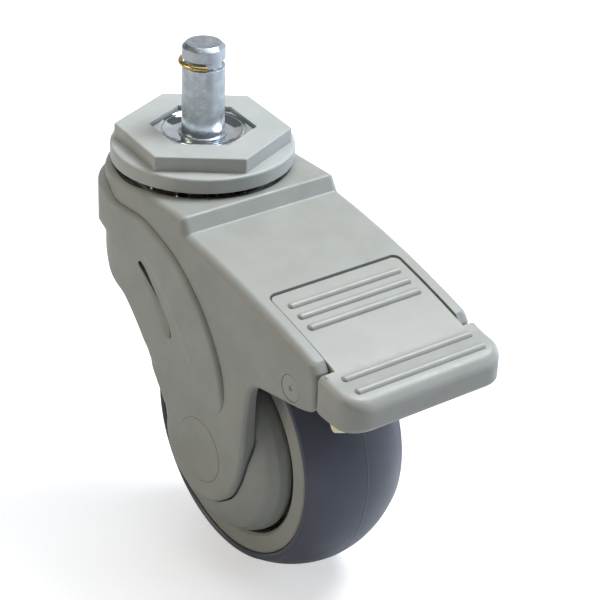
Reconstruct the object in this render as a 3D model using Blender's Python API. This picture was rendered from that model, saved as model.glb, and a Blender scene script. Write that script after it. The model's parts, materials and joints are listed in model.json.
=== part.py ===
"""Swivel chair caster with a 75 mm wheel, a grip ring stem and a total lock pedal.

The stem and the hexagonal top cover stay still in the chair leg. The fork swivels on a
ball race below them and carries the wheel, the rocking pedal, the brake shoe and the
lever that locks the swivel. The origin is on the swivel axis, in the plane of the
cover's top face. +X points along the pedal, +Z up the stem and -Y to the right side.
Sizes are in millimetres and become metres when a mesh is made.
"""
import math

import bmesh
import bpy
from mathutils import Matrix, Vector

METRES = 0.001
GAP = 0.3                      # clearance between pieces that touch

# Stem and top cover
STEM_R = 5.55                  # 7/16 inch stem
STEM_TOP = 22.95
STEM_CHAMFER = 1.0
GROOVE_R = 4.6
GROOVE_LOW = 16.9
GROOVE_HIGH = 19.0
RING_WIRE_R = 0.6
KINGPIN_R = 5.0
HEX_CORNER_R = 22.98
HEX_TURN = -6.2                # degrees from +X to a corner of the hexagon
HEX_HEIGHT = 3.9
WINDOW_CORNER_R = 13.9
FLANGE_R = 24.0
FLANGE_BOTTOM = -8.14

# Swivel bearing and the parts below it
BALL_R = 2.0
BALL_CIRCLE_R = 15.5
BALL_Z = -9.7
BALL_COUNT = 12
RACE_R = 20.9
CROWN_R = 13.0
CROWN_LOW = -21.0
CROWN_NOTCHES = 12
NUT_LOW = -24.3

# Fork
DECK_Z = -9.7
DECK_UNDERSIDE = -16.6
DECK_FRONT_X = 25.3
HOOD_R = 25.4
BULGE_R = 27.3
CHEEK_Y = 23.9
BAND_Y = 24.9
WELL_Y = 20.6
WELL_R = 22.4                  # the hood's inside
PEDAL_BAY_Y = 20.0
COVER_START = (28.0, -13.5)
COVER_SLOPE = 0.115
COVER_BEND = 0.00193
COVER_WALL = 3.0
FRONT_X = 81.3

# Wheel
AXLE = (35.9, -71.2)
AXLE_R = 4.0
TREAD_R = 38.2
TREAD_CROWN_R = 25.0           # the tread's curve from side to side
TREAD_Y = 15.4
RIM_R = 31.5
RIM_Y = 15.0
RIM_INNER_R = 26.2
GUARD_R = 25.0
CAP_R = 8.84
CAP_Y = 25.1
ARM_END_R = 15.0
BOSS_R = 12.7                  # inner boss that carries the axle and the thread guard
BOSS_Y = 17.4
COUNTERBORE_Y = 19.6
BEARING_R = 10.85
BEARING_IN = 6.1
BEARING_OUT = 12.9

# Pedal, brake shoe and swivel lock
PEDAL_PIN = (72.0, -34.8)
PEDAL_PIN_R = 3.5
PEDAL_BACK_X = 56.6
PEDAL_Y = 19.6
NOSE_BACK_X = 81.7
NOSE_FRONT_X = 95.8
NOSE_Y = 24.0
NOSE_CORNER_R = 7.5
NOSE_BOTTOM = -37.3
SHOE_PIN = (56.0, -31.0)
SHOE_INNER_R = 39.9
SHOE_OUTER_R = 44.4
SHOE_TIP_R = 46.2
SHOE_Y = 13.0
LOCK_PIN = (-16.0, -27.4)
SMALL_PIN_R = 1.5


# ---------------------------------------------------------------- scene and materials

def clear_scene():
    for old in list(bpy.data.objects):
        bpy.data.objects.remove(old, do_unlink=True)


def make_material(name, colour, roughness, metallic=0.0):
    material = bpy.data.materials.new(name)
    material.use_nodes = True
    shader = material.node_tree.nodes["Principled BSDF"]
    shader.inputs["Base Color"].default_value = (*colour, 1.0)
    shader.inputs["Roughness"].default_value = roughness
    shader.inputs["Metallic"].default_value = metallic
    material.diffuse_color = (*colour, 1.0)
    return material


def make_axis(name, x, z):
    empty = bpy.data.objects.new(name, None)
    empty.location = (x * METRES, 0.0, z * METRES)
    bpy.context.collection.objects.link(empty)
    return empty


# ---------------------------------------------------------------- outlines

def arc(x, z, radius, start, end, steps):
    """Points on a circle from one angle to another, in degrees."""
    angles = [math.radians(start + (end - start) * i / steps) for i in range(steps + 1)]
    return [(x + radius * math.cos(a), z + radius * math.sin(a)) for a in angles]


def smooth(points, steps=2):
    """A Catmull-Rom curve through the points."""
    padded = [points[0]] + list(points) + [points[-1]]
    curve = []
    for a, b, c, d in zip(padded, padded[1:], padded[2:], padded[3:]):
        for i in range(steps):
            t = i / steps
            curve.append(tuple(
                0.5 * (2 * b[k] + (c[k] - a[k]) * t
                       + (2 * a[k] - 5 * b[k] + 4 * c[k] - d[k]) * t * t
                       + (3 * b[k] - a[k] - 3 * c[k] + d[k]) * t ** 3)
                for k in range(2)))
    curve.append(points[-1])
    return curve


def hexagon(corner_r):
    return arc(0, 0, corner_r, HEX_TURN, HEX_TURN + 300, 5)


def cover_z(x):
    """Height of the fork's sloping cover, a shallow convex curve."""
    run = x - COVER_START[0]
    return COVER_START[1] - COVER_SLOPE * run - COVER_BEND * run * run


def cover_line(x_start, x_end, drop, steps):
    xs = [x_start + (x_end - x_start) * i / steps for i in range(steps + 1)]
    return [(x, cover_z(x) - drop) for x in xs]


def strip(points, thickness):
    """The outline of a thin strip that follows the points."""
    lower = []
    for i, point in enumerate(points):
        before = points[max(i - 1, 0)]
        after = points[min(i + 1, len(points) - 1)]
        run = math.hypot(after[0] - before[0], after[1] - before[1])
        normal = ((after[1] - before[1]) / run, -(after[0] - before[0]) / run)
        lower.append((point[0] + normal[0] * thickness, point[1] + normal[1] * thickness))
    return list(points) + lower[::-1]


# ---------------------------------------------------------------- solids

def make_object(name, bm, material, parent=None):
    """Turns a mesh in millimetres and world position into an object under its axis."""
    bmesh.ops.recalc_face_normals(bm, faces=bm.faces)
    bmesh.ops.scale(bm, vec=(METRES,) * 3, verts=bm.verts)
    mesh = bpy.data.meshes.new(name)
    bm.to_mesh(mesh)
    bm.free()
    mesh.materials.append(material)
    mesh.shade_smooth()
    mesh.set_sharp_from_angle(angle=math.radians(35))
    obj = bpy.data.objects.new(name, mesh)
    bpy.context.collection.objects.link(obj)
    if parent is not None:
        obj.parent = parent
        obj.location = -parent.location
    return obj


def extrude_outline(points, travel):
    bm = bmesh.new()
    face = bm.faces.new([bm.verts.new(point) for point in points])
    extruded = bmesh.ops.extrude_face_region(bm, geom=[face])
    moved = [item for item in extruded["geom"] if isinstance(item, bmesh.types.BMVert)]
    bmesh.ops.translate(bm, vec=travel, verts=moved)
    return bm


def side_prism(outline, y_low, y_high):
    """An outline in the XZ plane, extruded across the caster."""
    return extrude_outline([(x, y_low, z) for x, z in outline], (0, y_high - y_low, 0))


def plan_prism(outline, z_low, z_high):
    """An outline in the XY plane, extruded upwards."""
    return extrude_outline([(x, y, z_low) for x, y in outline], (0, 0, z_high - z_low))


def turned(profile, steps, centre=None):
    """A closed profile of (radius, height) points, turned about Z.

    With a centre (x, z) the axis is the line along Y through it instead, and a height
    counts along +Y.
    """
    bm = bmesh.new()
    verts = [bm.verts.new((radius, 0, height)) for radius, height in profile]
    edges = [bm.edges.new((a, b)) for a, b in zip(verts, verts[1:] + verts[:1])]
    bmesh.ops.spin(bm, geom=verts + edges, cent=(0, 0, 0), axis=(0, 0, 1),
                   angle=2 * math.pi, steps=steps, use_merge=True)
    bmesh.ops.remove_doubles(bm, verts=bm.verts, dist=0.001)
    on_axis = [edge for edge in bm.edges if not edge.link_faces]
    bmesh.ops.delete(bm, geom=on_axis, context="EDGES")
    if centre is not None:
        matrix = Matrix.Translation((centre[0], 0, centre[1])) @ Matrix.Rotation(
            -math.pi / 2, 4, "X")
        bmesh.ops.transform(bm, matrix=matrix, verts=bm.verts)
    return bm


def rod(radius, y_low, y_high, centre, steps=20, chamfer=0.3):
    """A round bar across the caster with chamfered ends."""
    profile = [(0, y_low), (radius - chamfer, y_low), (radius, y_low + chamfer),
               (radius, y_high - chamfer), (radius - chamfer, y_high), (0, y_high)]
    return turned(profile, steps, centre)


def drill(radius, y_low, y_high, centre, steps=20):
    profile = [(0, y_low), (radius, y_low), (radius, y_high), (0, y_high)]
    return turned(profile, steps, centre)


def ring(r_inner, r_outer, low, high, steps, chamfer=0.3, centre=None):
    profile = [(r_inner, low), (r_outer - chamfer, low), (r_outer, low + chamfer),
               (r_outer, high - chamfer), (r_outer - chamfer, high), (r_inner, high)]
    return turned(profile, steps, centre)


def swept_wire(path, wire_r, sides):
    """A round wire along a path of points, closed at both ends."""
    bm = bmesh.new()
    rings = []
    for i, point in enumerate(path):
        ahead = Vector(path[min(i + 1, len(path) - 1)]) - Vector(path[max(i - 1, 0)])
        across = ahead.orthogonal().normalized()
        if rings:
            across = across_before - ahead * across_before.dot(ahead) / ahead.length_squared
            across.normalize()
        side = ahead.normalized().cross(across)
        across_before = across
        rings.append([bm.verts.new(Vector(point) + wire_r * (
            across * math.cos(2 * math.pi * k / sides)
            + side * math.sin(2 * math.pi * k / sides))) for k in range(sides)])
    for lower, upper in zip(rings, rings[1:]):
        for k in range(sides):
            nxt = (k + 1) % sides
            bm.faces.new((lower[k], lower[nxt], upper[nxt], upper[k]))
    bm.faces.new(rings[0][::-1])
    bm.faces.new(rings[-1])
    return bm


def make_guide(name, bm, material):
    """A solid that only shapes another one, so it stays out of the build."""
    guide = make_object(name, bm, material)
    guide.hide_render = True
    guide.display_type = "WIRE"
    return guide


def combine_object(obj, tool, operation):
    modifier = obj.modifiers.new(operation.title(), "BOOLEAN")
    modifier.operation = operation
    modifier.object = tool
    modifier.solver = "EXACT"


def combine(obj, bm, operation):
    """Adds, cuts or intersects a solid with a Boolean modifier."""
    name = f"{obj.name}_{operation.lower()}_{len(obj.modifiers)}"
    combine_object(obj, make_guide(name, bm, obj.data.materials[0]), operation)


def cut(obj, *solids):
    for bm in solids:
        combine(obj, bm, "DIFFERENCE")


def join(obj, *solids):
    for bm in solids:
        combine(obj, bm, "UNION")


# ---------------------------------------------------------------- stem assembly

def make_stem(steel, brass, grey):
    profile = [(0, STEM_TOP), (STEM_R - STEM_CHAMFER, STEM_TOP),
               (STEM_R, STEM_TOP - STEM_CHAMFER),
               (STEM_R, GROOVE_HIGH), (GROOVE_R, GROOVE_HIGH), (GROOVE_R, GROOVE_LOW),
               (STEM_R, GROOVE_LOW), (STEM_R, 1.6), (6.0, 0.4), (7.2, -0.5), (8.6, -0.9),
               (8.6, -1.6), (KINGPIN_R, -1.6), (KINGPIN_R, -24.4), (4.5, -24.9), (0, -24.9)]
    make_object("stem_pin", turned(profile, 24), steel)

    ring_r = STEM_R + 0.35
    ring_z = (GROOVE_LOW + GROOVE_HIGH) / 2
    path = [(x, y, ring_z) for x, y in arc(0, 0, ring_r, 60, 325, 20)]
    make_object("grip_ring", swept_wire(path, RING_WIRE_R, 6), brass)

    plate = make_object("hex_plate", plan_prism(hexagon(WINDOW_CORNER_R - GAP), -4.4, -0.8), steel)
    join(plate, ring(6.5, 16.0, -4.6, -2.6, 28))
    dish = [(0, -1.9), (9.0, -1.9), (11.0, -0.8), (11.0, 1.0), (0, 1.0)]
    cut(plate, turned(dish, 28),
        turned([(0, -6), (5.4, -6), (5.4, 1), (0, 1)], 24))

    cover = make_object("top_cover", plan_prism(hexagon(HEX_CORNER_R), -5.0, 0.0), grey)
    flange = [(9.0, FLANGE_BOTTOM), (FLANGE_R, FLANGE_BOTTOM), (FLANGE_R, -5.2),
              (FLANGE_R - 0.4, -4.4), (FLANGE_R - 1.4, -HEX_HEIGHT), (9.0, -HEX_HEIGHT)]
    join(cover, turned(flange, 40))
    hollow = [(0, -9.0), (21.3, -9.0), (21.3, -6.0), (16.5, -4.9), (16.5, -2.2), (0, -2.2)]
    cut(cover, turned(hollow, 32), plan_prism(hexagon(WINDOW_CORNER_R), -3.0, 1.0))

    race = [(5.4, -7.4), (RACE_R, -7.4), (RACE_R, -6.3), (15.8, -5.2), (5.4, -5.2)]
    make_object("upper_race", turned(race, 28), steel)


def make_swivel_hardware(steel, nylon, swivel):
    lower = [(8.0, -13.3), (RACE_R, -13.3), (RACE_R, -11.6), (18.6, -11.6), (18.2, -12.0),
             (8.0, -12.0)]
    make_object("lower_race", turned(lower, 28), steel, swivel)

    cage = make_object("ball_cage", ring(12.8, 18.0, -10.3, -9.1, 24), nylon, swivel)
    pitch = 360 / BALL_COUNT
    places = arc(0, 0, BALL_CIRCLE_R, 5, 5 + 360 - pitch, BALL_COUNT - 1)
    for number, (x, y) in enumerate(places, start=1):
        bore = turned([(0, -13), (BALL_R + GAP, -13), (BALL_R + GAP, -6), (0, -6)], 8)
        bmesh.ops.translate(bore, vec=(x, y, 0), verts=bore.verts)
        cut(cage, bore)
        ball = bmesh.new()
        bmesh.ops.create_icosphere(ball, subdivisions=2, radius=BALL_R,
                                   matrix=Matrix.Translation((x, y, BALL_Z)))
        make_object(f"swivel_ball_{number:02d}", ball, steel, swivel)

    make_object("swivel_bush", ring(5.4, 6.9, DECK_UNDERSIDE, -13.7, 20), nylon, swivel)

    make_object("thrust_washer", ring(5.3, 12.0, -17.9, -16.9, 24), steel)
    crown = make_object("lock_crown", ring(5.4, CROWN_R, CROWN_LOW, -18.2, 24), steel)
    for i in range(CROWN_NOTCHES):
        notch = plan_prism([(9.2, -0.75), (14.0, -0.75), (14.0, 0.75), (9.2, 0.75)],
                           CROWN_LOW - 1.0, CROWN_LOW + 1.6)
        turn = Matrix.Rotation(2 * math.pi * i / CROWN_NOTCHES, 4, "Z")
        bmesh.ops.transform(notch, matrix=turn, verts=notch.verts)
        cut(crown, notch)
    nut = make_object("kingpin_nut", plan_prism(hexagon(8.2), NUT_LOW, CROWN_LOW - GAP), steel)
    cut(nut, turned([(0, -26), (5.3, -26), (5.3, -20), (0, -20)], 32))


# ---------------------------------------------------------------- fork

def fork_side_outline():
    """The fork from the side: deck, sloping cover, cheek, arm and hood."""
    deck = [(-HOOD_R - 2, DECK_Z), (DECK_FRONT_X, DECK_Z), (27.2, -12.6)]
    cover = cover_line(*(COVER_START[0], 79.0), 0.0, 8)
    front = [(80.7, -25.4), (FRONT_X, -27.5), (FRONT_X, -34.6), (80.7, -36.0)]
    lower_cheek = smooth([(79.4, -36.7), (72.0, -38.0), (64.0, -40.0), (60.0, -41.3)])
    arm_front = smooth([(58.4, -44.4), (57.9, -48.1), (58.3, -53.1), (57.4, -57.6),
                        (55.6, -65.0), (53.2, -73.4), (49.2, -79.2), (44.6, -82.2)])
    around_axle = arc(AXLE[0] - 0.6, AXLE[1] + 0.5, ARM_END_R, -62, -192, 9)
    arm_back = smooth([(13.0, -56.6), (5.6, -46.8), (0.4, -42.4), (-4.4, -40.4),
                       (-9.0, -36.8), (-13.0, -34.6), (-17.5, -33.6),
                       (-HOOD_R - 2, -33.0)])
    return deck + cover + front + lower_cheek + arm_front + around_axle + arm_back


def band_outline():
    """The raised band that runs from the hood down the arm to the axle."""
    step = smooth([(-12.0, -15.0), (-7.0, -16.6), (-1.0, -17.3), (8.4, -17.0),
                   (17.6, -19.6), (25.3, -23.2), (31.6, -28.0), (36.6, -33.0),
                   (40.5, -38.9), (43.6, -45.0), (45.0, -50.8), (45.0, -54.0)])
    lower = smooth([(48.0, -57.5), (52.8, -60.6), (53.0, -67.0), (50.4, -74.0),
                    (45.6, -79.4)])
    around_axle = arc(AXLE[0] - 0.6, AXLE[1] + 0.5, ARM_END_R - 2.0, -62, -192, 7)
    back = smooth([(15.4, -56.0), (8.0, -46.2), (2.6, -41.0), (-2.6, -38.4),
                   (-7.6, -34.4), (-12.0, -30.0)])
    return step + lower + around_axle + back


def make_fork(grey, swivel):
    fork = make_object("fork_housing", side_prism(fork_side_outline(), -CHEEK_Y, CHEEK_Y),
                       grey, swivel)
    rounding = fork.modifiers.new("Edge rounding", "BEVEL")
    rounding.width = 1.6 * METRES
    rounding.segments = 1
    rounding.limit_method = "ANGLE"
    rounding.angle_limit = math.radians(50)

    combine(fork, plan_prism(hood_plan(HOOD_R, CHEEK_Y + 1), -100, 0), "INTERSECT")
    join(fork, plan_prism(arc(0, 0, BULGE_R, 112, 248, 16), -27.6, -15.0))
    for side in (-1, 1):
        join(fork, side_prism(band_outline(), *sorted((side * 22.0, side * BAND_Y))))

    well = make_guide("fork_well", side_prism(well_outline(), -WELL_Y, WELL_Y), grey)
    combine(well, plan_prism(hood_plan(WELL_R, WELL_Y + 1), -120, 0), "INTERSECT")
    combine_object(fork, well, "DIFFERENCE")
    bay = [(56.2, -10.0), (90.0, -10.0), (90.0, -46.0), (62.0, -46.0), (56.2, -28.0)]
    cut(fork, side_prism(bay, -PEDAL_BAY_Y, PEDAL_BAY_Y))
    for side in (-1, 1):
        join(fork, drill(BOSS_R, *sorted((side * BOSS_Y, side * 21.6)), AXLE, 28))
    cut(fork, turned([(0, -13.6), (21.2, -13.6), (21.2, -8), (0, -8)], 36),
        turned([(0, -20), (7.2, -20), (7.2, -8), (0, -8)], 24),
        drill(PEDAL_PIN_R + GAP, -30, 30, PEDAL_PIN, 20),
        drill(SMALL_PIN_R + GAP, -22.2, 22.2, SHOE_PIN, 12),
        drill(SMALL_PIN_R + GAP, -17.4, 17.4, LOCK_PIN, 12),
        drill(AXLE_R + GAP, -30, 30, AXLE, 20))
    for side in (-1, 1):
        cut(fork, drill(CAP_R + GAP, *sorted((side * COUNTERBORE_Y, side * 30)), AXLE, 24))
    screw_hole = turned([(0, -22), (1.5, -22), (1.5, -16.6), (0, -16.6)], 12)
    bmesh.ops.translate(screw_hole, vec=(45, 10, 0), verts=screw_hole.verts)
    cut(fork, screw_hole)


def hood_plan(radius, half_width):
    """From above: a round hood about the swivel axis, then straight sides to the front."""
    return arc(0, 0, radius, 109, 251, 16) + [(95, -half_width), (95, half_width)]


def well_outline():
    """The hollow between the cheeks, where the wheel and the mechanism are."""
    roof = cover_line(31.0, 95.0, COVER_WALL, 6)
    return ([(-WELL_R - 2, DECK_UNDERSIDE), (29.0, DECK_UNDERSIDE)] + roof
            + [(95.0, -112.0), (-WELL_R - 2, -112.0)])


# ---------------------------------------------------------------- wheel and axle

def make_wheel(wheel_axis, grey, rubber, steel):
    half = [(RIM_R, 0.0), (RIM_R, RIM_Y - 0.6), (RIM_R - 0.6, RIM_Y),
            (RIM_INNER_R + 0.6, RIM_Y), (RIM_INNER_R, RIM_Y - 0.6), (RIM_INNER_R, 3.5),
            (14.2, 3.0), (14.2, BEARING_OUT - 0.4), (13.8, BEARING_OUT),
            (BEARING_R + GAP, BEARING_OUT), (BEARING_R + GAP, BEARING_IN - GAP),
            (7.0, BEARING_IN - GAP)]
    profile = half + [(radius, -height) for radius, height in half[:0:-1]]
    make_object("wheel_centre", turned(profile, 28, AXLE), grey, wheel_axis)

    crown = [(TREAD_R - TREAD_CROWN_R + math.sqrt(TREAD_CROWN_R ** 2 - y * y), y)
             for y in (-TREAD_Y + 0.4, -10.5, -5.5, 0.0, 5.5, 10.5, TREAD_Y - 0.4)]
    bore = RIM_R + GAP
    tyre = ([(bore, -TREAD_Y), (crown[0][0] - 0.6, -TREAD_Y)] + crown
            + [(crown[-1][0] - 0.6, TREAD_Y), (bore, TREAD_Y)])
    make_object("tyre", turned(tyre, 40, AXLE), rubber, wheel_axis)

    for name, side in (("left", 1), ("right", -1)):
        low, high = sorted((side * BEARING_IN, side * BEARING_OUT))
        bearing = [(4.3, low), (BEARING_R - 0.4, low), (BEARING_R, low + 0.4),
                   (BEARING_R, high - 0.4), (BEARING_R - 0.4, high), (4.3, high)]
        make_object(f"wheel_bearing_{name}", turned(bearing, 24, AXLE), steel, wheel_axis)


def make_axle(swivel, grey, steel):
    head = COUNTERBORE_Y + GAP
    bolt = [(0, -22.7), (6.4, -22.7), (7.0, -22.1), (7.0, -head), (AXLE_R, -head),
            (AXLE_R, 22.1), (3.4, 22.6), (0, 22.6)]
    make_object("axle_bolt", turned(bolt, 20, AXLE), steel, swivel)
    nut_outline = [(AXLE[0] + x, AXLE[1] + z) for x, z in arc(0, 0, 7.5, 0, 300, 5)]
    nut = make_object("axle_nut", side_prism(nut_outline, head, 22.7), steel, swivel)
    cut(nut, drill(AXLE_R + GAP, 15, 30, AXLE, 24))
    make_object("bearing_spacer", ring(4.3, 6.0, -5.8, 5.8, 16, 0.3, AXLE), steel, swivel)

    for name, side in (("left", 1), ("right", -1)):
        spacer = sorted((side * (BEARING_OUT + GAP), side * (BOSS_Y - GAP)))
        make_object(f"axle_spacer_{name}", ring(4.3, 5.8, *spacer, 16, 0.3, AXLE), steel, swivel)

        cap = [(0, 23.0), (CAP_R - 0.3, 23.0), (CAP_R, 23.4), (CAP_R, CAP_Y - 0.4),
               (CAP_R - 0.4, CAP_Y), (0, CAP_Y)]
        guard_bore = BOSS_R + GAP
        guard = [(guard_bore, 18.4), (17.0, 17.9), (21.0, 15.7), (23.4, 13.4),
                 (GUARD_R - 0.5, 13.4), (GUARD_R, 14.0), (GUARD_R, 14.8), (23.6, 16.2),
                 (21.0, 18.2), (17.6, 19.8), (guard_bore, 20.2)]
        for piece, profile, steps in (("axle_cap", cap, 24), ("thread_guard", guard, 28)):
            sided = [(radius, side * height) for radius, height in profile]
            make_object(f"{piece}_{name}", turned(sided, steps, AXLE), grey, swivel)


# ---------------------------------------------------------------- pedal and locks

def make_pedal(pedal_axis, swivel, grey, steel):
    top = cover_line(PEDAL_BACK_X, NOSE_BACK_X, 0.35, 6)
    nose_top = [(86.0, -26.9), (91.0, -27.5), (93.6, -28.3), (95.2, -29.9),
                (NOSE_FRONT_X, -32.0)]
    plate_bottom = cover_line(79.0, PEDAL_BACK_X, 2.75, 5)
    plate = top + [(84.0, -26.6), (84.0, -30.0), (79.6, -30.0)] + plate_bottom
    pedal = make_object("brake_pedal", side_prism(plate, -PEDAL_Y, PEDAL_Y), grey, pedal_axis)

    nose_side = ([(NOSE_BACK_X, top[-1][1])] + nose_top
                 + [(NOSE_FRONT_X, -34.6), (94.6, -36.6), (92.6, NOSE_BOTTOM),
                    (83.0, NOSE_BOTTOM), (NOSE_BACK_X, -36.4)])
    corner_x = NOSE_FRONT_X - NOSE_CORNER_R
    corner_y = NOSE_Y - NOSE_CORNER_R
    nose_plan = (arc(corner_x, -corner_y, NOSE_CORNER_R, -90, 0, 6)
                 + arc(corner_x, corner_y, NOSE_CORNER_R, 0, 90, 6)
                 + [(78.0, NOSE_Y), (78.0, -NOSE_Y)])
    nose = make_guide("pedal_nose", side_prism(nose_side, -NOSE_Y, NOSE_Y), grey)
    combine(nose, plan_prism(nose_plan, -50, 0), "INTERSECT")
    combine_object(pedal, nose, "UNION")

    lug = ([(66.8, -24.6), (79.8, -28.0)] + arc(*PEDAL_PIN, 6.0, 0, -180, 10))
    tail = [(57.2, -20.0), (60.2, -20.6), (60.2, -25.0), (59.2, -26.0), (57.2, -26.0)]
    for side in (-1, 1):
        join(pedal, side_prism(lug, *sorted((side * 9.0, side * 17.6))))
    web = [(78.0, -26.6), (84.0, -27.6), (84.0, -34.0), (79.4, -34.0), (78.0, -32.0)]
    join(pedal, side_prism(tail, -5.0, 5.0), side_prism(web, -17.6, 17.6))
    for x in (61.3, 65.1, 69.4):
        join(pedal, rib(x, cover_z(x) - 0.35, 17.0))
    join(pedal, rib(86.0, -26.9, 19.8), rib(91.0, -27.5, 19.8))
    underside = [(84.2, -40.0), (84.2, -30.6), (93.2, -30.6), (93.2, -40.0)]
    cut(pedal, side_prism(underside, -20.0, 20.0),
        drill(PEDAL_PIN_R + GAP, -19, 19, PEDAL_PIN, 20))

    make_object("pedal_pin", rod(PEDAL_PIN_R, -CHEEK_Y, CHEEK_Y, PEDAL_PIN, 20),
                grey, swivel)

    leaf = strip([(40.5, -18.6), (49.0, -20.3), (57.6, -25.2), (63.2, -31.0),
                  (65.0, -34.6)], 0.8)
    spring = make_object("detent_spring", side_prism(leaf, 7.0, 13.0), steel, swivel)
    hole = turned([(0, -24), (1.5, -24), (1.5, -16), (0, -16)], 12)
    bmesh.ops.translate(hole, vec=(45, 10, 0), verts=hole.verts)
    cut(spring, hole)
    screw = turned([(0, -23.0), (1.8, -23.0), (2.5, -22.4), (2.5, -21.1), (1.2, -21.1),
                    (1.2, -17.2), (0, -17.0)], 16)
    bmesh.ops.translate(screw, vec=(45, 10, 0), verts=screw.verts)
    make_object("detent_screw", screw, steel, swivel)


def rib(x, z, half_length):
    """A raised grip rib across the pedal, half sunk in its surface."""
    profile = arc(x, z - 0.1, 0.75, 0, 315, 7)
    return side_prism(profile, -half_length, half_length)


def make_brake_shoe(shoe_axis, swivel, cream, steel):
    inner = arc(*AXLE, SHOE_INNER_R, 29, 60, 8)
    tip = arc(*AXLE, SHOE_TIP_R, 35, 30, 2)
    outer = arc(*AXLE, SHOE_OUTER_R, 60, 37.5, 6)
    shoe = make_object("brake_shoe", side_prism(inner + outer + tip, -SHOE_Y, SHOE_Y),
                       cream, shoe_axis)
    arm = [(62.6, -37.0), (58.2, -36.9)] + arc(*SHOE_PIN, 2.8, 240, 20, 8)
    for side in (-1, 1):
        join(shoe, side_prism(arm, *sorted((side * 7.0, side * SHOE_Y))))
    cut(shoe, drill(SMALL_PIN_R + GAP, -20, 20, SHOE_PIN, 12))
    make_object("shoe_pin", rod(SMALL_PIN_R, -21.9, 21.9, SHOE_PIN, 12, 0.2), steel, swivel)


def make_swivel_lock(lock_axis, swivel, steel):
    bar = ([(60.0, -26.3), (60.0, -28.5), (-14.0, -28.9)] + arc(*LOCK_PIN, 3.2, -45, -270, 8)
           + [(-12.0, -26.3), (9.8, -26.3), (9.8, -21.35), (12.4, -21.35), (12.4, -26.3)])
    lever = make_object("lock_lever", side_prism(bar, -5.0, 5.0), steel, lock_axis)
    for side in (-1, 1):
        flank = [(9.0, -26.0), (13.0, -26.0), (13.0, -20.0), (9.0, -20.0)]
        cut(lever, side_prism(flank, *sorted((side * 0.45, side * 6.0))))
    cut(lever, drill(SMALL_PIN_R + GAP, -20, 20, LOCK_PIN, 12))
    make_object("lock_pin", rod(SMALL_PIN_R, -17.1, 17.1, LOCK_PIN, 12, 0.2), steel, swivel)

    turns = 4
    steps = 10 * turns
    coil = [(LOCK_PIN[0] + 2.7 * math.cos(2 * math.pi * turns * i / steps),
             5.9 + 4.6 * i / steps,
             LOCK_PIN[1] + 2.7 * math.sin(2 * math.pi * turns * i / steps))
            for i in range(steps + 1)]
    make_object("lock_spring", swept_wire(coil, 0.35, 5), steel, swivel)


def main():
    clear_scene()
    steel = make_material("zinc_plated_steel", (0.62, 0.63, 0.64), 0.3, 1.0)
    brass = make_material("yellow_zinc_wire", (0.62, 0.52, 0.28), 0.35, 1.0)
    grey = make_material("grey_nylon", (0.48, 0.49, 0.47), 0.5)
    rubber = make_material("blue_grey_rubber", (0.11, 0.12, 0.16), 0.55)
    cream = make_material("cream_acetal", (0.78, 0.72, 0.5), 0.4)
    nylon = make_material("natural_nylon", (0.75, 0.74, 0.68), 0.45)

    swivel = make_axis("swivel_axis", 0, 0)
    wheel_axis = make_axis("wheel_axis", *AXLE)
    pedal_axis = make_axis("pedal_axis", *PEDAL_PIN)
    shoe_axis = make_axis("shoe_axis", *SHOE_PIN)
    lock_axis = make_axis("lock_axis", *LOCK_PIN)

    make_stem(steel, brass, grey)
    make_swivel_hardware(steel, nylon, swivel)
    make_fork(grey, swivel)
    make_wheel(wheel_axis, grey, rubber, steel)
    make_axle(swivel, grey, steel)
    make_pedal(pedal_axis, swivel, grey, steel)
    make_brake_shoe(shoe_axis, swivel, cream, steel)
    make_swivel_lock(lock_axis, swivel, steel)


main()
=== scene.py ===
# %% [markdown]
# # A swivel chair caster with a total lock pedal
#
# The caster plugs into a chair leg with a steel stem. Everything else is moulded or
# pressed round that stem: a hexagonal cover that a spanner can turn, a fork that swivels
# on a ring of balls, a wheel with a soft tread, and a pedal that stops both the wheel
# and the swivel. The frame holds all the working parts at their real size. This file
# makes the surfaces that show, and gives every part the finish of its real material.
#
# All lengths here are millimetres, and become metres when a mesh is made. X points
# along the pedal, Z up the stem, and the fork's two cheeks face -Y and +Y.

import json
import math

import bmesh
import bpy
import numpy as np
from mathutils import Matrix, Vector
from mathutils.geometry import delaunay_2d_cdt

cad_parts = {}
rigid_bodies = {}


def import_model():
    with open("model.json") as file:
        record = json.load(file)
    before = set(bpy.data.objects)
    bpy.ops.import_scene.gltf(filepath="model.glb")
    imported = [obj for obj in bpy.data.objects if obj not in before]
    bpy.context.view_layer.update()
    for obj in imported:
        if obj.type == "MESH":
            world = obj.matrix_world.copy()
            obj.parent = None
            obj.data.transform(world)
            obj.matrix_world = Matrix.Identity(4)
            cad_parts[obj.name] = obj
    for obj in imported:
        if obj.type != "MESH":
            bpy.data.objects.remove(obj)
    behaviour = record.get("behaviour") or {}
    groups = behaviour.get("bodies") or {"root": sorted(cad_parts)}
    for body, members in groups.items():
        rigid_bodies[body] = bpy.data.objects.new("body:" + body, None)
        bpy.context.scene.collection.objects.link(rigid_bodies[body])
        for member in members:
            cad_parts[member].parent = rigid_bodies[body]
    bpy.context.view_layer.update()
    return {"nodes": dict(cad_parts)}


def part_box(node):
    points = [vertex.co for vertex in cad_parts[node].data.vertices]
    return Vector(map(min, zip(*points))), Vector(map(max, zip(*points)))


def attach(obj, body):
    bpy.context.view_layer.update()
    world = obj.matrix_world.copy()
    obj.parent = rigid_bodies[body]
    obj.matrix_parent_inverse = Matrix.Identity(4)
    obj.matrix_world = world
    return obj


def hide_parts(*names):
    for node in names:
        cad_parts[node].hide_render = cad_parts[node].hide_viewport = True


for old in list(bpy.data.objects):
    bpy.data.objects.remove(old, do_unlink=True)
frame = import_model()
MM = 0.001

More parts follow.
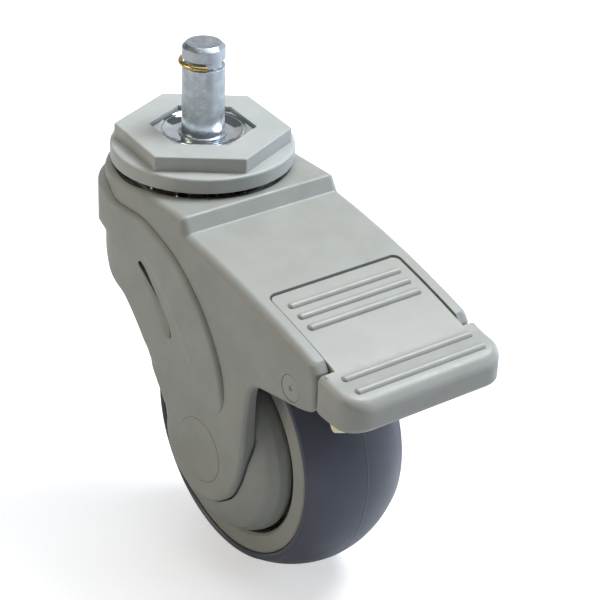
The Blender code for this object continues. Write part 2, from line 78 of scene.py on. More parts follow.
# %% [markdown]
# ## Sizes
#
# A piece has to sit exactly where the working part sits, so places and main sizes are
# read from the frame's boxes. The tyre's box gives the axle, the pin's box gives the
# pedal's hinge, and so on. What a box can't tell, such as an edge radius, is a named
# number next to the piece that uses it.


# %% Read places and sizes
def box_mm(node):
    low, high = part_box(node)
    return low / MM, high / MM


def middle(node):
    """The (x, z) centre of a round part that lies across the caster, and its radius."""
    low, high = box_mm(node)
    return ((low.x + high.x) / 2, (low.z + high.z) / 2), (high.z - low.z) / 2


AXLE, TREAD_R = middle("tyre")
PEDAL_PIN, PEDAL_PIN_R = middle("pedal_pin")
SHOE_PIN, SMALL_PIN_R = middle("shoe_pin")
LOCK_PIN, _ = middle("lock_pin")
CAP_R = middle("axle_cap_right")[1]
CAP_Y = box_mm("axle_cap_left")[1].y
GUARD_R = middle("thread_guard_right")[1]
RIM_R = middle("wheel_centre")[1]
RIM_Y = box_mm("wheel_centre")[1].y
STEM_TOP = box_mm("stem_pin")[1].z
COVER_TOP = box_mm("top_cover")[1].z
COVER_BOTTOM = box_mm("top_cover")[0].z
FLANGE_R = box_mm("top_cover")[1].y
DECK_Z = box_mm("fork_housing")[1].z
PEDAL_FRONT = box_mm("brake_pedal")[1].x
PEDAL_HALF = box_mm("brake_pedal")[1].y
print("axle", [round(v, 2) for v in AXLE], "tread", round(TREAD_R, 2), "cap", round(CAP_R, 2))

# %% [markdown]
# ## Drawing tools
#
# Most moulded parts are a flat outline with its corners rounded, pushed out or turned
# round an axis. Small helpers draw the outlines: a circular arc, a smooth curve through
# chosen points, a hexagon, and one that rounds every corner of a polygon. Another tells
# which way lies to the left of a line, so that a line can be moved sideways.


# %% Outlines
def arc(x, z, radius, start, end, steps):
    """Points on a circle from one angle to another, in degrees."""
    angles = np.radians(np.linspace(start, end, steps + 1))
    return [(x + radius * math.cos(a), z + radius * math.sin(a)) for a in angles]


def smooth(points, steps=6):
    """A Catmull-Rom curve through the points."""
    padded = [points[0], *points, points[-1]]
    curve = []
    for a, b, c, d in zip(padded, padded[1:], padded[2:], padded[3:]):
        a, b, c, d = (np.array(p, float) for p in (a, b, c, d))
        for t in np.arange(steps) / steps:
            curve.append(tuple(0.5 * (2 * b + (c - a) * t + (2 * a - 5 * b + 4 * c - d) * t * t
                                      + (3 * b - a - 3 * c + d) * t ** 3)))
    return curve + [tuple(points[-1])]


def rounded(points, radius, steps=5, closed=True):
    """The outline with its corners rounded. A point may carry its own radius third."""
    result = []
    count = len(points)
    for i, point in enumerate(points):
        here = Vector(point[:2])
        if not closed and i in (0, count - 1):
            result.append(tuple(here))
            continue
        back = Vector(points[i - 1][:2]) - here
        ahead = Vector(points[(i + 1) % count][:2]) - here
        turn = math.pi - back.angle(ahead)
        wanted = point[2] if len(point) > 2 else radius
        reach = wanted * math.tan(turn / 2)
        room = 0.48 * min(back.length, ahead.length)
        if turn < 0.03 or reach < 1e-4:
            result.append(tuple(here))
            continue
        true_r = wanted * min(1.0, room / reach)
        reach = min(reach, room)
        centre = here + (back.normalized() + ahead.normalized()).normalized() * (
            true_r / math.cos(turn / 2))
        first = here + back.normalized() * reach - centre
        last = here + ahead.normalized() * reach - centre
        sweep = first.angle_signed(last)
        for k in range(steps + 1):
            result.append(tuple(centre + Matrix.Rotation(-sweep * k / steps, 2) @ first))
    return result


def hexagon(corner_r, turn):
    return arc(0, 0, corner_r, turn, turn + 300, 5)


def leftward(line):
    """Unit vectors that point to the left of a line, one for each of its points."""
    ahead = np.gradient(np.array(line), axis=0)
    ahead /= np.maximum(np.hypot(*ahead.T), 1e-9)[:, None]
    return np.column_stack([-ahead[:, 1], ahead[:, 0]])


print("a rounded square has", len(rounded([(0, 0), (9, 0), (9, 9), (0, 9)], 2)), "points")

# %% [markdown]
# ## From outline to solid
#
# A solid comes from pushing an outline along a straight line, or from turning a profile
# round an axis, as a lathe would. Boolean modifiers then join and cut the solids the way
# a toolmaker would combine blocks and drills. The manifold solver is used because every
# solid here is closed, and it is quick on fine meshes.


# %% Solids
def to_mesh(name, bm):
    """A mesh in millimetres becomes an object, its normals pointing out."""
    bmesh.ops.remove_doubles(bm, verts=bm.verts, dist=1e-4)
    bmesh.ops.recalc_face_normals(bm, faces=bm.faces)
    bmesh.ops.scale(bm, vec=(MM,) * 3, verts=bm.verts)
    mesh = bpy.data.meshes.new(name)
    bm.to_mesh(mesh)
    bm.free()
    obj = bpy.data.objects.new(name, mesh)
    bpy.context.collection.objects.link(obj)
    return obj


def pushed(outline, lift, travel):
    """An outline turned into 3-D by lift, and pushed along travel."""
    bm = bmesh.new()
    face = bm.faces.new([bm.verts.new(lift(*point)) for point in outline])
    made = bmesh.ops.extrude_face_region(bm, geom=[face])
    moved = [item for item in made["geom"] if isinstance(item, bmesh.types.BMVert)]
    bmesh.ops.translate(bm, vec=travel, verts=moved)
    return bm


def across(outline, y_low, y_high):
    """A side outline (x, z) pushed across the caster."""
    return pushed(outline, lambda x, z: (x, y_low, z), (0, y_high - y_low, 0))


def upright(outline, z_low, z_high):
    """A plan outline (x, y) pushed upwards."""
    return pushed(outline, lambda x, y: (x, y, z_low), (0, 0, z_high - z_low))


def lying_at(x, y, z):
    """The placement that lays a shape's Z axis along Y, at a point."""
    return Matrix.Translation((x, y, z)) @ Matrix.Rotation(-math.pi / 2, 4, "X")


def turned(profile, steps, centre=None):
    """A profile of (radius, height) turned about Z, or about a line along Y at (x, z)."""
    bm = bmesh.new()
    verts = [bm.verts.new((max(radius, 0.0), 0, height)) for radius, height in profile]
    edges = [bm.edges.new(pair) for pair in zip(verts, verts[1:] + verts[:1])]
    bmesh.ops.spin(bm, geom=verts + edges, cent=(0, 0, 0), axis=(0, 0, 1),
                   angle=2 * math.pi, steps=steps, use_merge=True)
    bmesh.ops.remove_doubles(bm, verts=bm.verts, dist=1e-4)
    loose = [edge for edge in bm.edges if not edge.link_faces]
    bmesh.ops.delete(bm, geom=loose, context="EDGES")
    if centre is not None:
        bmesh.ops.transform(bm, matrix=lying_at(centre[0], 0, centre[1]), verts=bm.verts)
    return bm


def drill(radius, y_low, y_high, centre, steps=64):
    return turned([(0, y_low), (radius, y_low), (radius, y_high), (0, y_high)], steps, centre)


def combine(obj, operation, *solids):
    """Joins, cuts or trims the object with each solid in turn, and keeps the result."""
    for bm in solids:
        tool = to_mesh("tool", bm)
        modifier = obj.modifiers.new("combine", "BOOLEAN")
        modifier.operation = operation
        modifier.solver = "MANIFOLD"
        modifier.object = tool
        keep_shape(obj)
        bpy.data.objects.remove(tool)
    return obj


def keep_shape(obj):
    """Replaces the object's mesh by what its modifiers make of it."""
    graph = bpy.context.evaluated_depsgraph_get()
    mesh = bpy.data.meshes.new_from_object(obj.evaluated_get(graph))
    obj.modifiers.clear()
    obj.data = mesh


def sides(solid):
    """Calls solid(-1) for the right side and solid(1) for the left."""
    return [solid(side) for side in (-1, 1)]


def span(side, near, far):
    """The lower and the higher Y of a stretch on one side of the middle."""
    return sorted((side * near, side * far))


print("a drill has", len(drill(1, 0, 1, (0, 0)).verts), "points")

# %% [markdown]
# ## Finished pieces
#
# Each finished piece says which moving body it rides on, which working parts it stands
# for, and which material gives it its finish. Sharp edges stay crisp, and weighted
# normals keep broad flat faces looking flat right up to their small rounded edges.

# %% Hand a piece over
CRISP_ANGLE = 32                    # degrees between faces, above which an edge stays crisp


def finished(obj, body, material, *nodes):
    obj.data.shade_smooth()
    obj.data.set_sharp_from_angle(angle=math.radians(CRISP_ANGLE))
    weighting = obj.modifiers.new("flat faces stay flat", "WEIGHTED_NORMAL")
    weighting.keep_sharp = True
    keep_shape(obj)
    obj.data.materials.clear()
    obj.data.materials.append(material)
    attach(obj, body)
    if nodes:
        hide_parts(*nodes)
    low, high = (Vector(f(c[i] for c in obj.bound_box) for i in range(3)) for f in (min, max))
    print(f"{obj.name}: {len(obj.data.polygons)} faces,",
          " x ".join(f"{v / MM:.1f}" for v in high - low), "mm")
    return obj


# %% [markdown]
# ## Building materials
#
# A material is a small network of nodes. One function adds a node, sets its fields and
# links its inputs, so each material below reads as a list of what it is made of. Colours
# are written as the hex values a designer would use, and turned to linear light once.


# %% Material tools
def linear(code):
    """A hex colour such as A0A29D as linear red, green, blue and alpha."""
    channels = [int(code[i:i + 2], 16) / 255 for i in (0, 2, 4)]
    return (*(c / 12.92 if c <= 0.04045 else ((c + 0.055) / 1.055) ** 2.4 for c in channels), 1.0)


def add(tree, kind, links=None, **settings):
    """Adds a node. A setting names a field or an input, and links maps inputs to outputs."""
    node = tree.nodes.new(kind)
    for key, value in settings.items():
        if hasattr(node, key):
            setattr(node, key, value)
        else:
            node.inputs[key.replace("_", " ")].default_value = value
    for key, output in (links or {}).items():
        tree.links.new(output, node.inputs[key])
    return node


def new_material(name, slot, **shader):
    """A material with its Principled shader, ready for colour and bump."""
    material = bpy.data.materials.new(name)
    material.use_nodes = True
    tree = material.node_tree
    principled = tree.nodes["Principled BSDF"]
    for key, value in shader.items():
        principled.inputs[key.replace("_", " ")].default_value = value
    place = add(tree, "ShaderNodeTexCoord").outputs["Object"]
    return material, tree, principled, place


def noise(tree, place, size_mm, detail):
    """Noise with patches of the given size."""
    return add(tree, "ShaderNodeTexNoise", {"Vector": place}, Scale=1 / (size_mm * MM),
               Detail=detail).outputs["Fac"]


NOISE_LOW, NOISE_HIGH = 0.3, 0.7    # nearly all of a noise lies between these


def mottled(tree, place, size_mm, low, high):
    """Patches of the given size, blended between two colours."""
    ramp = add(tree, "ShaderNodeValToRGB", {"Fac": noise(tree, place, size_mm, 3.0)})
    for end, position, code in zip(ramp.color_ramp.elements, (NOISE_LOW, NOISE_HIGH), (low, high)):
        end.position = position
        end.color = linear(code)
    return ramp.outputs["Color"]


def rough_between(tree, place, size_mm, low, high):
    """Roughness that drifts between two values over the surface."""
    return add(tree, "ShaderNodeMapRange", {"Value": noise(tree, place, size_mm, 4.0)},
               From_Min=NOISE_LOW, From_Max=NOISE_HIGH, To_Min=low, To_Max=high).outputs["Result"]


def grain(tree, place, size_mm, depth_mm, under=None):
    """A bump from fine noise, laid over another bump if there is one."""
    links = {"Height": noise(tree, place, size_mm, 2.0)}
    if under is not None:
        links["Normal"] = under
    return add(tree, "ShaderNodeBump", links, Strength=1.0,
               Distance=depth_mm * MM).outputs["Normal"]


def dress(tree, shader, colour, roughness, bump):
    """Gives the shader its colour, its roughness and its bump."""
    for field, output in (("Base Color", colour), ("Roughness", roughness), ("Normal", bump)):
        tree.links.new(output, shader.inputs[field])


# %% [markdown]
# ## Grey glass-filled nylon
#
# The fork, the cover, the wheel centre and the pedal are injection moulded in nylon
# coloured a light grey, the cover a little paler than the rest. The tool is spark
# eroded, so the surface has a fine sand-like grain about 0.3 mm across, and the gloss is
# low and a little uneven where the glass filler lies near the skin. Two bumps, one broad
# and one fine, give that.


# %% Moulded nylon
def moulded_nylon(name, low, high, roughness):
    material, tree, shader, place = new_material(name, "grey_nylon", IOR=1.53)
    broad = grain(tree, place, 1.2, 0.018)
    dress(tree, shader, mottled(tree, place, 9.0, low, high),
          rough_between(tree, place, 3.0, roughness - 0.05, roughness + 0.07),
          grain(tree, place, 0.3, 0.016, broad))
    return material


fork_nylon = moulded_nylon("grey_nylon_moulded_spark_finish", "888982", "90918A", 0.46)
cover_nylon = moulded_nylon("grey_nylon_cover", "9B9D99", "A4A6A1", 0.46)
pedal_nylon = moulded_nylon("grey_nylon_pedal", "8D8D86", "93938C", 0.44)
wheel_nylon = moulded_nylon("grey_nylon_wheel_centre", "8C8D85", "93948C", 0.42)

# %% [markdown]
# ## Steel, plated and plain
#
# The stem and the plate under it are zinc plated: bright, slightly blue, and finely
# turned, so the marks run round the axis. A noise that is packed closer along the axis
# makes rings of it. The grip ring is spring wire with a yellow zinc finish. Bearings are
# ground bearing steel, and the springs and the small pins are blued spring steel.


# %% Steels
def steel(name, slot, low, high, roughness, squeeze, scratch_mm):
    """Metal with fine marks. Squeeze scales the pattern, and a large value packs it."""
    material, tree, shader, place = new_material(name, slot, Metallic=1.0)
    marks = add(tree, "ShaderNodeMapping", {"Vector": place}, Scale=squeeze).outputs["Vector"]
    dress(tree, shader, mottled(tree, place, 2.5, low, high),
          rough_between(tree, marks, 0.8, roughness * 0.75, roughness * 1.35),
          grain(tree, marks, 0.35, scratch_mm))
    return material


stem_zinc = steel("bright_zinc_plated_steel_turned", "zinc_plated_steel", "A2A8AD", "BEC5CA",
                  0.32, (1.0, 1.0, 3.0), 0.004)
plate_zinc = steel("bright_zinc_plated_steel_pressed", "zinc_plated_steel", "BCC2C6", "D2D6D8",
                   0.07, (1.0, 1.0, 1.0), 0.003)
ring_zinc = steel("yellow_zinc_spring_wire", "yellow_zinc_wire", "B79F5E", "D0BB7C",
                  0.27, (1.0, 1.0, 2.0), 0.003)
ball_steel = steel("ground_bearing_steel", "bearing_steel", "B4B6B8", "C4C6C8",
                   0.16, (1.0, 1.0, 1.0), 0.001)
spring_steel = steel("blued_spring_steel", "spring_steel", "7F8389", "9A9DA2",
                     0.3, (1.0, 3.0, 1.0), 0.003)

# %% [markdown]
# ## Rubber and the other plastics
#
# The tread is a thermoplastic rubber bonded to the nylon wheel, blue-grey and silky. It
# picks up dust, which a little sheen shows at grazing angles. The brake shoe is cream
# acetal, hard and waxy, and the ball cage and the bush are natural nylon, which lets a
# little light into itself.


# %% Rubber and plastics
def soft_tread():
    material, tree, shader, place = new_material("blue_grey_tread_rubber", "tyre_rubber",
                                                 IOR=1.5, Sheen_Weight=0.12, Sheen_Roughness=0.5)
    broad = grain(tree, place, 2.5, 0.01)
    dress(tree, shader, mottled(tree, place, 14.0, "3F424E", "454854"),
          rough_between(tree, place, 6.0, 0.36, 0.46), grain(tree, place, 0.35, 0.005, broad))
    return material


def natural_plastic(name, slot, low, high, roughness):
    """A plastic with no pigment, which light enters a little way."""
    material, tree, shader, place = new_material(name, slot, IOR=1.5, Subsurface_Weight=0.15,
                                                 Subsurface_Scale=1.5 * MM)
    dress(tree, shader, mottled(tree, place, 5.0, low, high),
          rough_between(tree, place, 2.0, roughness - 0.05, roughness + 0.05),
          grain(tree, place, 0.4, 0.006))
    return material


tread_rubber = soft_tread()
shoe_acetal = natural_plastic("cream_acetal_moulded", "cream_acetal", "E6DCB4", "EFE6C4", 0.35)
cage_nylon = natural_plastic("natural_nylon_moulded", "natural_nylon", "DEDACB", "E8E4D6", 0.4)

# %% [markdown]
# ## The stem
#
# The stem is one bar turned on a lathe: a chamfer that helps it find the socket, a
# groove for the grip ring, and at its foot a thin collar with a small fillet where it
# bears on the plate. A profile turned round Z makes all of it at once. Below the collar
# it runs on through the bearing as the kingpin.

# %% Turn the stem
STEM_R = 5.55
GROOVE_R = 4.6
GROOVE_FOOT, GROOVE_HEAD = 16.9, 19.0
STEM_CHAMFER = 1.0
KINGPIN_R = 5.0
KINGPIN_TIP_R = 4.5
KINGPIN_END = -24.9
KINGPIN_CHAMFER = 0.7
FOOT_R = 6.35
PLATE_Z = -1.9                      # the floor of the dished plate
COLLAR_TOP = PLATE_Z + 0.3
COLLAR_FOOT = PLATE_Z + 0.02

stem_profile = rounded([
    (0, STEM_TOP), (STEM_R - STEM_CHAMFER, STEM_TOP, 0.15),
    (STEM_R, STEM_TOP - STEM_CHAMFER, 0.15),
    (STEM_R, GROOVE_HEAD, 0.12), (GROOVE_R, GROOVE_HEAD, 0.2), (GROOVE_R, GROOVE_FOOT, 0.2),
    (STEM_R, GROOVE_FOOT, 0.12), (STEM_R, COLLAR_TOP, 0.5), (FOOT_R, COLLAR_TOP, 0.25),
    (FOOT_R, COLLAR_FOOT, 0.02), (KINGPIN_R, COLLAR_FOOT, 0.02),
    (KINGPIN_R, KINGPIN_END + KINGPIN_CHAMFER, 0.3), (KINGPIN_TIP_R, KINGPIN_END, 0.2),
    (0, KINGPIN_END)], 0.2, closed=False)
finished(to_mesh("stem", turned(stem_profile, 128)), "stem", stem_zinc, "stem_pin")

# %% [markdown]
# ## The grip ring
#
# The ring is a length of round wire bent into two thirds of a circle and snapped in the
# groove, so it can be squeezed as the stem goes into its socket. It follows a path, so
# Geometry Nodes sweep a wire circle along an arc. The same tree, with a rise, winds the
# small coil spring of the swivel lock. Three helpers keep such trees short: one starts a
# tree, one does a sum, and one ends it.


# %% Tools for node trees
def geometry_tree(name, **kinds):
    """A new Geometry Nodes tree with these inputs and a material, and its input sockets."""
    tree = bpy.data.node_groups.new(name, "GeometryNodeTree")
    for label, kind in {**kinds, "Material": "Material"}.items():
        tree.interface.new_socket(label.replace("_", " "), in_out="INPUT",
                                  socket_type=f"NodeSocket{kind}")
    tree.interface.new_socket("Geometry", in_out="OUTPUT", socket_type="NodeSocketGeometry")
    return tree, add(tree, "NodeGroupInput").outputs


def maths(tree, operation, *values):
    """The result of a Math node on outputs of other nodes and plain numbers."""
    node = add(tree, "ShaderNodeMath", operation=operation)
    for socket, value in zip(node.inputs, values):
        if isinstance(value, float):
            socket.default_value = value
        else:
            tree.links.new(value, socket)
    return node.outputs[0]


def deliver(tree, geometry, inputs):
    """Ends a tree: makes instances real, gives them the material and sends them out."""
    real = add(tree, "GeometryNodeRealizeInstances", {"Geometry": geometry})
    done = add(tree, "GeometryNodeSetMaterial", {"Geometry": real.outputs["Geometry"],
                                                 "Material": inputs["Material"]})
    add(tree, "NodeGroupOutput", {"Geometry": done.outputs["Geometry"]})
    return tree


def grown(name, tree, values, place):
    """Runs a node tree with these inputs, and keeps its result as a plain mesh."""
    obj = bpy.data.objects.new(name, bpy.data.meshes.new(name))
    bpy.context.collection.objects.link(obj)
    modifier = obj.modifiers.new("grow", "NODES")
    modifier.node_group = tree
    for item in tree.interface.items_tree:
        if item.in_out == "INPUT" and item.name in values:
            modifier[item.identifier] = values[item.name]
    keep_shape(obj)
    obj.data.transform(place)
    return obj


# %% A wire that follows an arc
def wire_tree():
    """Sweeps round wire along an arc or a coil about Z."""
    tree, inputs = geometry_tree("bent wire", Coil_radius="Float", Wire_radius="Float",
                                 Start_angle="Float", Turns="Float", Height="Float",
                                 Points="Int")
    line = add(tree, "GeometryNodeCurvePrimitiveLine").outputs["Curve"]
    points = add(tree, "GeometryNodeResampleCurve", {"Curve": line, "Count": inputs["Points"]})
    along = add(tree, "GeometryNodeSplineParameter").outputs["Factor"]
    swept = maths(tree, "MULTIPLY", maths(tree, "MULTIPLY", along, inputs["Turns"]), math.tau)
    angle = maths(tree, "ADD", swept, inputs["Start angle"])
    x, y = (maths(tree, "MULTIPLY", maths(tree, wave, angle), inputs["Coil radius"])
            for wave in ("COSINE", "SINE"))
    rise = maths(tree, "MULTIPLY", along, inputs["Height"])
    place = add(tree, "ShaderNodeCombineXYZ", {"X": x, "Y": y, "Z": rise}).outputs[0]
    bent = add(tree, "GeometryNodeSetPosition", {"Geometry": points.outputs["Curve"],
                                                 "Position": place})
    section = add(tree, "GeometryNodeCurvePrimitiveCircle", {"Radius": inputs["Wire radius"]},
                  Resolution=16)
    wire = add(tree, "GeometryNodeCurveToMesh", {"Curve": bent.outputs["Geometry"],
                                                 "Profile Curve": section.outputs["Curve"]},
               Fill_Caps=True)
    return deliver(tree, wire.outputs["Mesh"], inputs)


RING_R = STEM_R + 0.35              # to the middle of the wire, so the ring stands proud
RING_WIRE_R = 0.62
RING_START = 95                     # degrees from +X to its first end
RING_SWEEP = 239

bent_wire = wire_tree()
ring = grown("grip_wire_ring", bent_wire, {
    "Coil radius": RING_R * MM, "Wire radius": RING_WIRE_R * MM,
    "Start angle": math.radians(RING_START), "Turns": RING_SWEEP / 360, "Height": 0.0,
    "Points": 96, "Material": ring_zinc},
    Matrix.Translation((0, 0, (GROOVE_FOOT + GROOVE_HEAD) / 2 * MM)))
finished(ring, "stem", ring_zinc, "grip_ring")

# %% [markdown]
# ## The dished plate
#
# A pressed steel plate fills the hexagonal window of the cover. Its outer part is flat
# and six sided, so it can't turn in the window, and a round flange under it holds it
# down. The middle is pressed down in a smooth dish, which mirrors whatever is around it.
# The dish is cut with a turned tool, as a press tool would shape it.

# %% Press the plate
HEX_TURN = -6.2                     # degrees from +X to a corner
WINDOW_R = 13.9                     # to a corner of the window
WINDOW_CORNER_R = 0.4
PLATE_GAP = 0.12                    # between the plate's corner and the window's
PLATE_FOOT = -4.6
PLATE_FLAT = -0.75                  # the plate's flat top, just under the cover's
PLATE_FLANGE_R = 16.0
PLATE_FLANGE_TOP = -2.6
PLATE_BORE_R = 5.3

plate = to_mesh("dished_hex_plate",
                upright(rounded(hexagon(WINDOW_R - PLATE_GAP, HEX_TURN), WINDOW_CORNER_R),
                        PLATE_FOOT, PLATE_FLAT))
plate_flange = [(6.5, PLATE_FOOT), (PLATE_FLANGE_R, PLATE_FOOT),
                (PLATE_FLANGE_R, PLATE_FLANGE_TOP), (6.5, PLATE_FLANGE_TOP)]
combine(plate, "UNION", turned(plate_flange, 96))
dish_tool = rounded([(0, PLATE_Z), (6.6, PLATE_Z), (8.3, PLATE_Z + 0.12, 4.0),
                     (9.9, PLATE_Z + 0.62, 3.0), (10.5, PLATE_Z + 1.0, 0.25),
                     (10.9, PLATE_Z + 0.85, 0.25), (11.7, -0.55, 0.4), (12.2, 0.2), (0, 0.2)],
                    0.1, closed=False)
combine(plate, "DIFFERENCE", turned(dish_tool, 128),
        upright(arc(0, 0, PLATE_BORE_R, 0, 350, 35), -6, 1))
finished(plate, "stem", plate_zinc, "hex_plate")

# %% [markdown]
# ## The hexagonal cover
#
# The cover is the nut that a spanner holds: a hexagon with a round, flat topped flange
# under it. The moulding has small rounded edges everywhere. Each of the two shapes gets
# its edges on its own and then they are joined, which leaves the crisp line where the
# flats meet the flange. From below it is hollow, so that it snaps over the plate.


# %% Mould the cover
def beveled(bm, width, steps, least_angle=30):
    """Rounds the sharp edges of a simple solid, in millimetres."""
    sharp = [edge for edge in bm.edges
             if len(edge.link_faces) == 2 and edge.calc_face_angle() > math.radians(least_angle)]
    bmesh.ops.bevel(bm, geom=sharp, offset=width, offset_type="OFFSET", segments=steps,
                    profile=0.5, affect="EDGES", clamp_overlap=True)
    return bm


HEX_R = 22.98                       # to a corner of the hexagon
HEX_CORNER_R = 0.7
HEX_EDGE_R = 0.45
FLANGE_TOP = -3.9
WALL_FOOT = -4.6                    # the hexagon runs a little into the flange
WALL_INSIDE_R = 16.5
FLANGE_INSIDE_R = 21.3

wall = upright(rounded(hexagon(HEX_R, HEX_TURN), HEX_CORNER_R, 4), WALL_FOOT, COVER_TOP)
cover = to_mesh("hexagonal_cover", beveled(wall, HEX_EDGE_R, 4, 50))
flange = rounded([(9.0, COVER_BOTTOM), (FLANGE_R, COVER_BOTTOM, 0.25),
                  (FLANGE_R, FLANGE_TOP - 0.2, 0.75), (19.0, FLANGE_TOP, 0.3),
                  (9.0, FLANGE_TOP)], 0.1)
combine(cover, "UNION", turned(flange, 192))
hollow = [(0, -9.0), (FLANGE_INSIDE_R, -9.0), (FLANGE_INSIDE_R, -6.0), (WALL_INSIDE_R, -4.9),
          (WALL_INSIDE_R, -2.2), (0, -2.2)]
window = upright(rounded(hexagon(WINDOW_R, HEX_TURN), WINDOW_CORNER_R), -3.0, 1.0)
combine(cover, "DIFFERENCE", turned(hollow, 96), window)
finished(cover, "stem", cover_nylon, "top_cover")

# %% [markdown]
# ## The fork's skin, unrolled
#
# The fork is one moulding: two cheeks that carry the axle, joined over the wheel by a
# sloping cover and round the back by a hood. Its outside is smooth, with a raised band
# that runs from the hood down to the axle. A skin like that is easiest to draw flat.
# Seen from above, each cheek follows a path that starts at the middle of the hood's
# back, runs round it, and then straight along X. The distance along that path and the
# height Z make a flat sheet on which every line of the moulding can be drawn. The sheet
# is cut into triangles, raised by a height worked out at each point, and then wrapped
# back round the path.


# %% The path seen from above
HOOD_R = 25.4
CHEEK_Y = 23.9
BAND_RAISE = 1.0
BELT_RAISE = 1.9                    # the band stands further out round the hood
STRAIGHT_FROM = -2.0                # where the cheek becomes flat

plan = arc(0, 0, HOOD_R, 180, 127, 40)
plan += smooth([plan[-1], (-12.3, 22.05), (-9.2, 23.1), (-5.8, 23.72), (STRAIGHT_FROM, CHEEK_Y)],
               8)[1:]
plan = np.array(plan + [(140.0, CHEEK_Y)])
steps = np.hypot(*np.diff(plan, axis=0).T)
unrolled_at = np.concatenate([[0], np.cumsum(steps)])
unrolled_at += STRAIGHT_FROM - unrolled_at[-2]
SEAM = unrolled_at[0]
leaning = np.gradient(plan, unrolled_at, axis=0)
outward = np.column_stack([-leaning[:, 1], leaning[:, 0]])
outward[0] = (-1, 0)
outward[-2:] = (0, 1)


def unroll(x):
    """The distance along the path at which it passes x."""
    return float(np.interp(x, plan[:, 0], unrolled_at))


def wrapped(points, raised, side):
    """Puts flat (distance, z) points, raised outwards, on one side of the fork."""
    along = points[:, 0]
    place = [np.interp(along, unrolled_at, plan[:, i]) for i in (0, 1)]
    away = np.array([np.interp(along, unrolled_at, outward[:, i]) for i in (0, 1)])
    away /= np.hypot(*away)
    x, y = place + away * raised
    return np.column_stack([x, side * np.maximum(y, 0), points[:, 1]])


print("from the middle of the hood to the cheek:", round(STRAIGHT_FROM - SEAM, 1), "mm")

# %% [markdown]
# ## The lines drawn on it
#
# Four lines shape the skin. The outline is the edge of the moulding. The band line is
# the ledge between the flat cheek and the raised band. The ribbon line is the faint
# inner edge of the strip that follows the ledge. The slot line is where a slit goes
# through the wall, with a smooth scoop that leads down to it from one side.

# %% Draw the outline
DECK_FRONT_X = 25.3
COVER_START = (28.0, -13.5)
COVER_SLOPE = 0.115
COVER_BEND = 0.00193
FRONT_X = 81.3
LIP_Z = -28.0
HOOD_FOOT = -33.2
ARM_END_R = 15.0


def cover_z(x):
    """Height of the sloping cover, a shallow convex curve."""
    run = x - COVER_START[0]
    return COVER_START[1] - COVER_SLOPE * run - COVER_BEND * run * run


def flat(points):
    """(x, z) points on a cheek, as (distance, z) points on the sheet."""
    return [(unroll(x), z) for x, z in points]


def resampled(points, pitch):
    """The same line with points no further apart than the pitch."""
    line = [points[0]]
    for a, b in zip(points, points[1:]):
        length = math.dist(a, b)
        if length < 1e-3:
            continue
        pieces = max(1, math.ceil(length / pitch))
        line += [(a[0] + (b[0] - a[0]) * k / pieces, a[1] + (b[1] - a[1]) * k / pieces)
                 for k in range(1, pieces + 1)]
    return line


deck_and_step = rounded([(SEAM, DECK_Z), (DECK_FRONT_X, DECK_Z, 1.2),
                         (27.7, cover_z(27.7), 0.8), (33.0, cover_z(33.0))], 1.0, closed=False)
cover_top = [(x, cover_z(x)) for x in np.linspace(34, 79, 46)]
front = rounded([(79.5, cover_z(79.5)), (FRONT_X, -26.9, 1.2), (FRONT_X, LIP_Z)], 1.0,
                closed=False)
EDGE_PITCH = 0.8                    # between points on the outline
TOP_LINE = resampled(deck_and_step + cover_top + front, EDGE_PITCH)

lower_cheek = smooth([(79.2, -38.0), (77.0, -38.7), (74.7, -39.2), (71.7, -39.7), (68.7, -40.1),
                      (65.7, -40.6), (62.7, -41.1), (60.6, -41.4)])
notch = smooth([(60.5, -41.4), (59.0, -41.7), (57.4, -42.3), (56.2, -43.4)], 4)[1:-1]
arm_front = smooth([(56.2, -43.4), (55.3, -45.0), (54.8, -47.0), (54.5, -50.0), (54.4, -54.0),
                    (54.4, -58.0), (54.3, -61.5), (53.9, -64.4), (53.3, -67.2), (52.7, -70.0),
                    (52.1, -72.4), (51.2, -74.6), (49.9, -77.3), (48.0, -79.8), (45.2, -82.1)])
arm_end = arc(AXLE[0] - 0.6, AXLE[1] + 0.5, ARM_END_R, -58, -192, 40)
arm_back = smooth([(13.1, -57.8), (11.6, -54.4), (9.2, -51.9), (6.9, -49.1), (4.5, -46.6),
                   (2.1, -44.3), (-0.3, -42.4), (-4.5, -40.6), (-7.4, -38.5), (-9.6, -36.2),
                   (-12.4, -34.7), (-15.6, -34.0), (-20.0, -33.5)])
LOWER_LINE = resampled(
    [(FRONT_X, LIP_Z)] + rounded([(FRONT_X, LIP_Z - 2), (FRONT_X, -36.4, 1.6), (79.2, -38.0)],
                                 1.0, closed=False)
    + flat(lower_cheek + notch + arm_front + arm_end + arm_back) + [(SEAM, HOOD_FOOT)],
    EDGE_PITCH)
print("points on the outline:", len(TOP_LINE) + len(LOWER_LINE))

# %% Draw the band, the ribbon and the slot
band_line = flat([(-27.0, -14.6), (-16.0, -14.4), (-11.0, -14.5)]) + flat(smooth([
    (-8.8, -15.0), (-7.2, -16.0), (-5.4, -16.9), (-2.5, -17.2), (1.0, -17.1), (4.8, -16.9),
    (8.9, -17.1), (13.1, -18.2), (17.6, -19.6), (22.1, -21.4), (25.3, -23.3), (28.7, -25.6),
    (31.5, -27.9), (34.2, -30.3), (36.6, -33.0), (38.8, -36.0), (40.6, -38.9), (42.3, -42.0),
    (43.6, -45.2), (44.6, -48.7), (45.2, -51.7), (45.2, -54.0), (44.5, -55.7), (43.0, -56.8)], 4))
ribbon_line = flat(smooth([(9.0, -25.4), (13.0, -27.9), (17.6, -31.5), (23.1, -36.9),
                           (28.2, -43.1), (32.3, -49.0), (35.0, -54.8), (37.0, -57.2),
                           (39.8, -57.9), (43.0, -56.8)], 4))
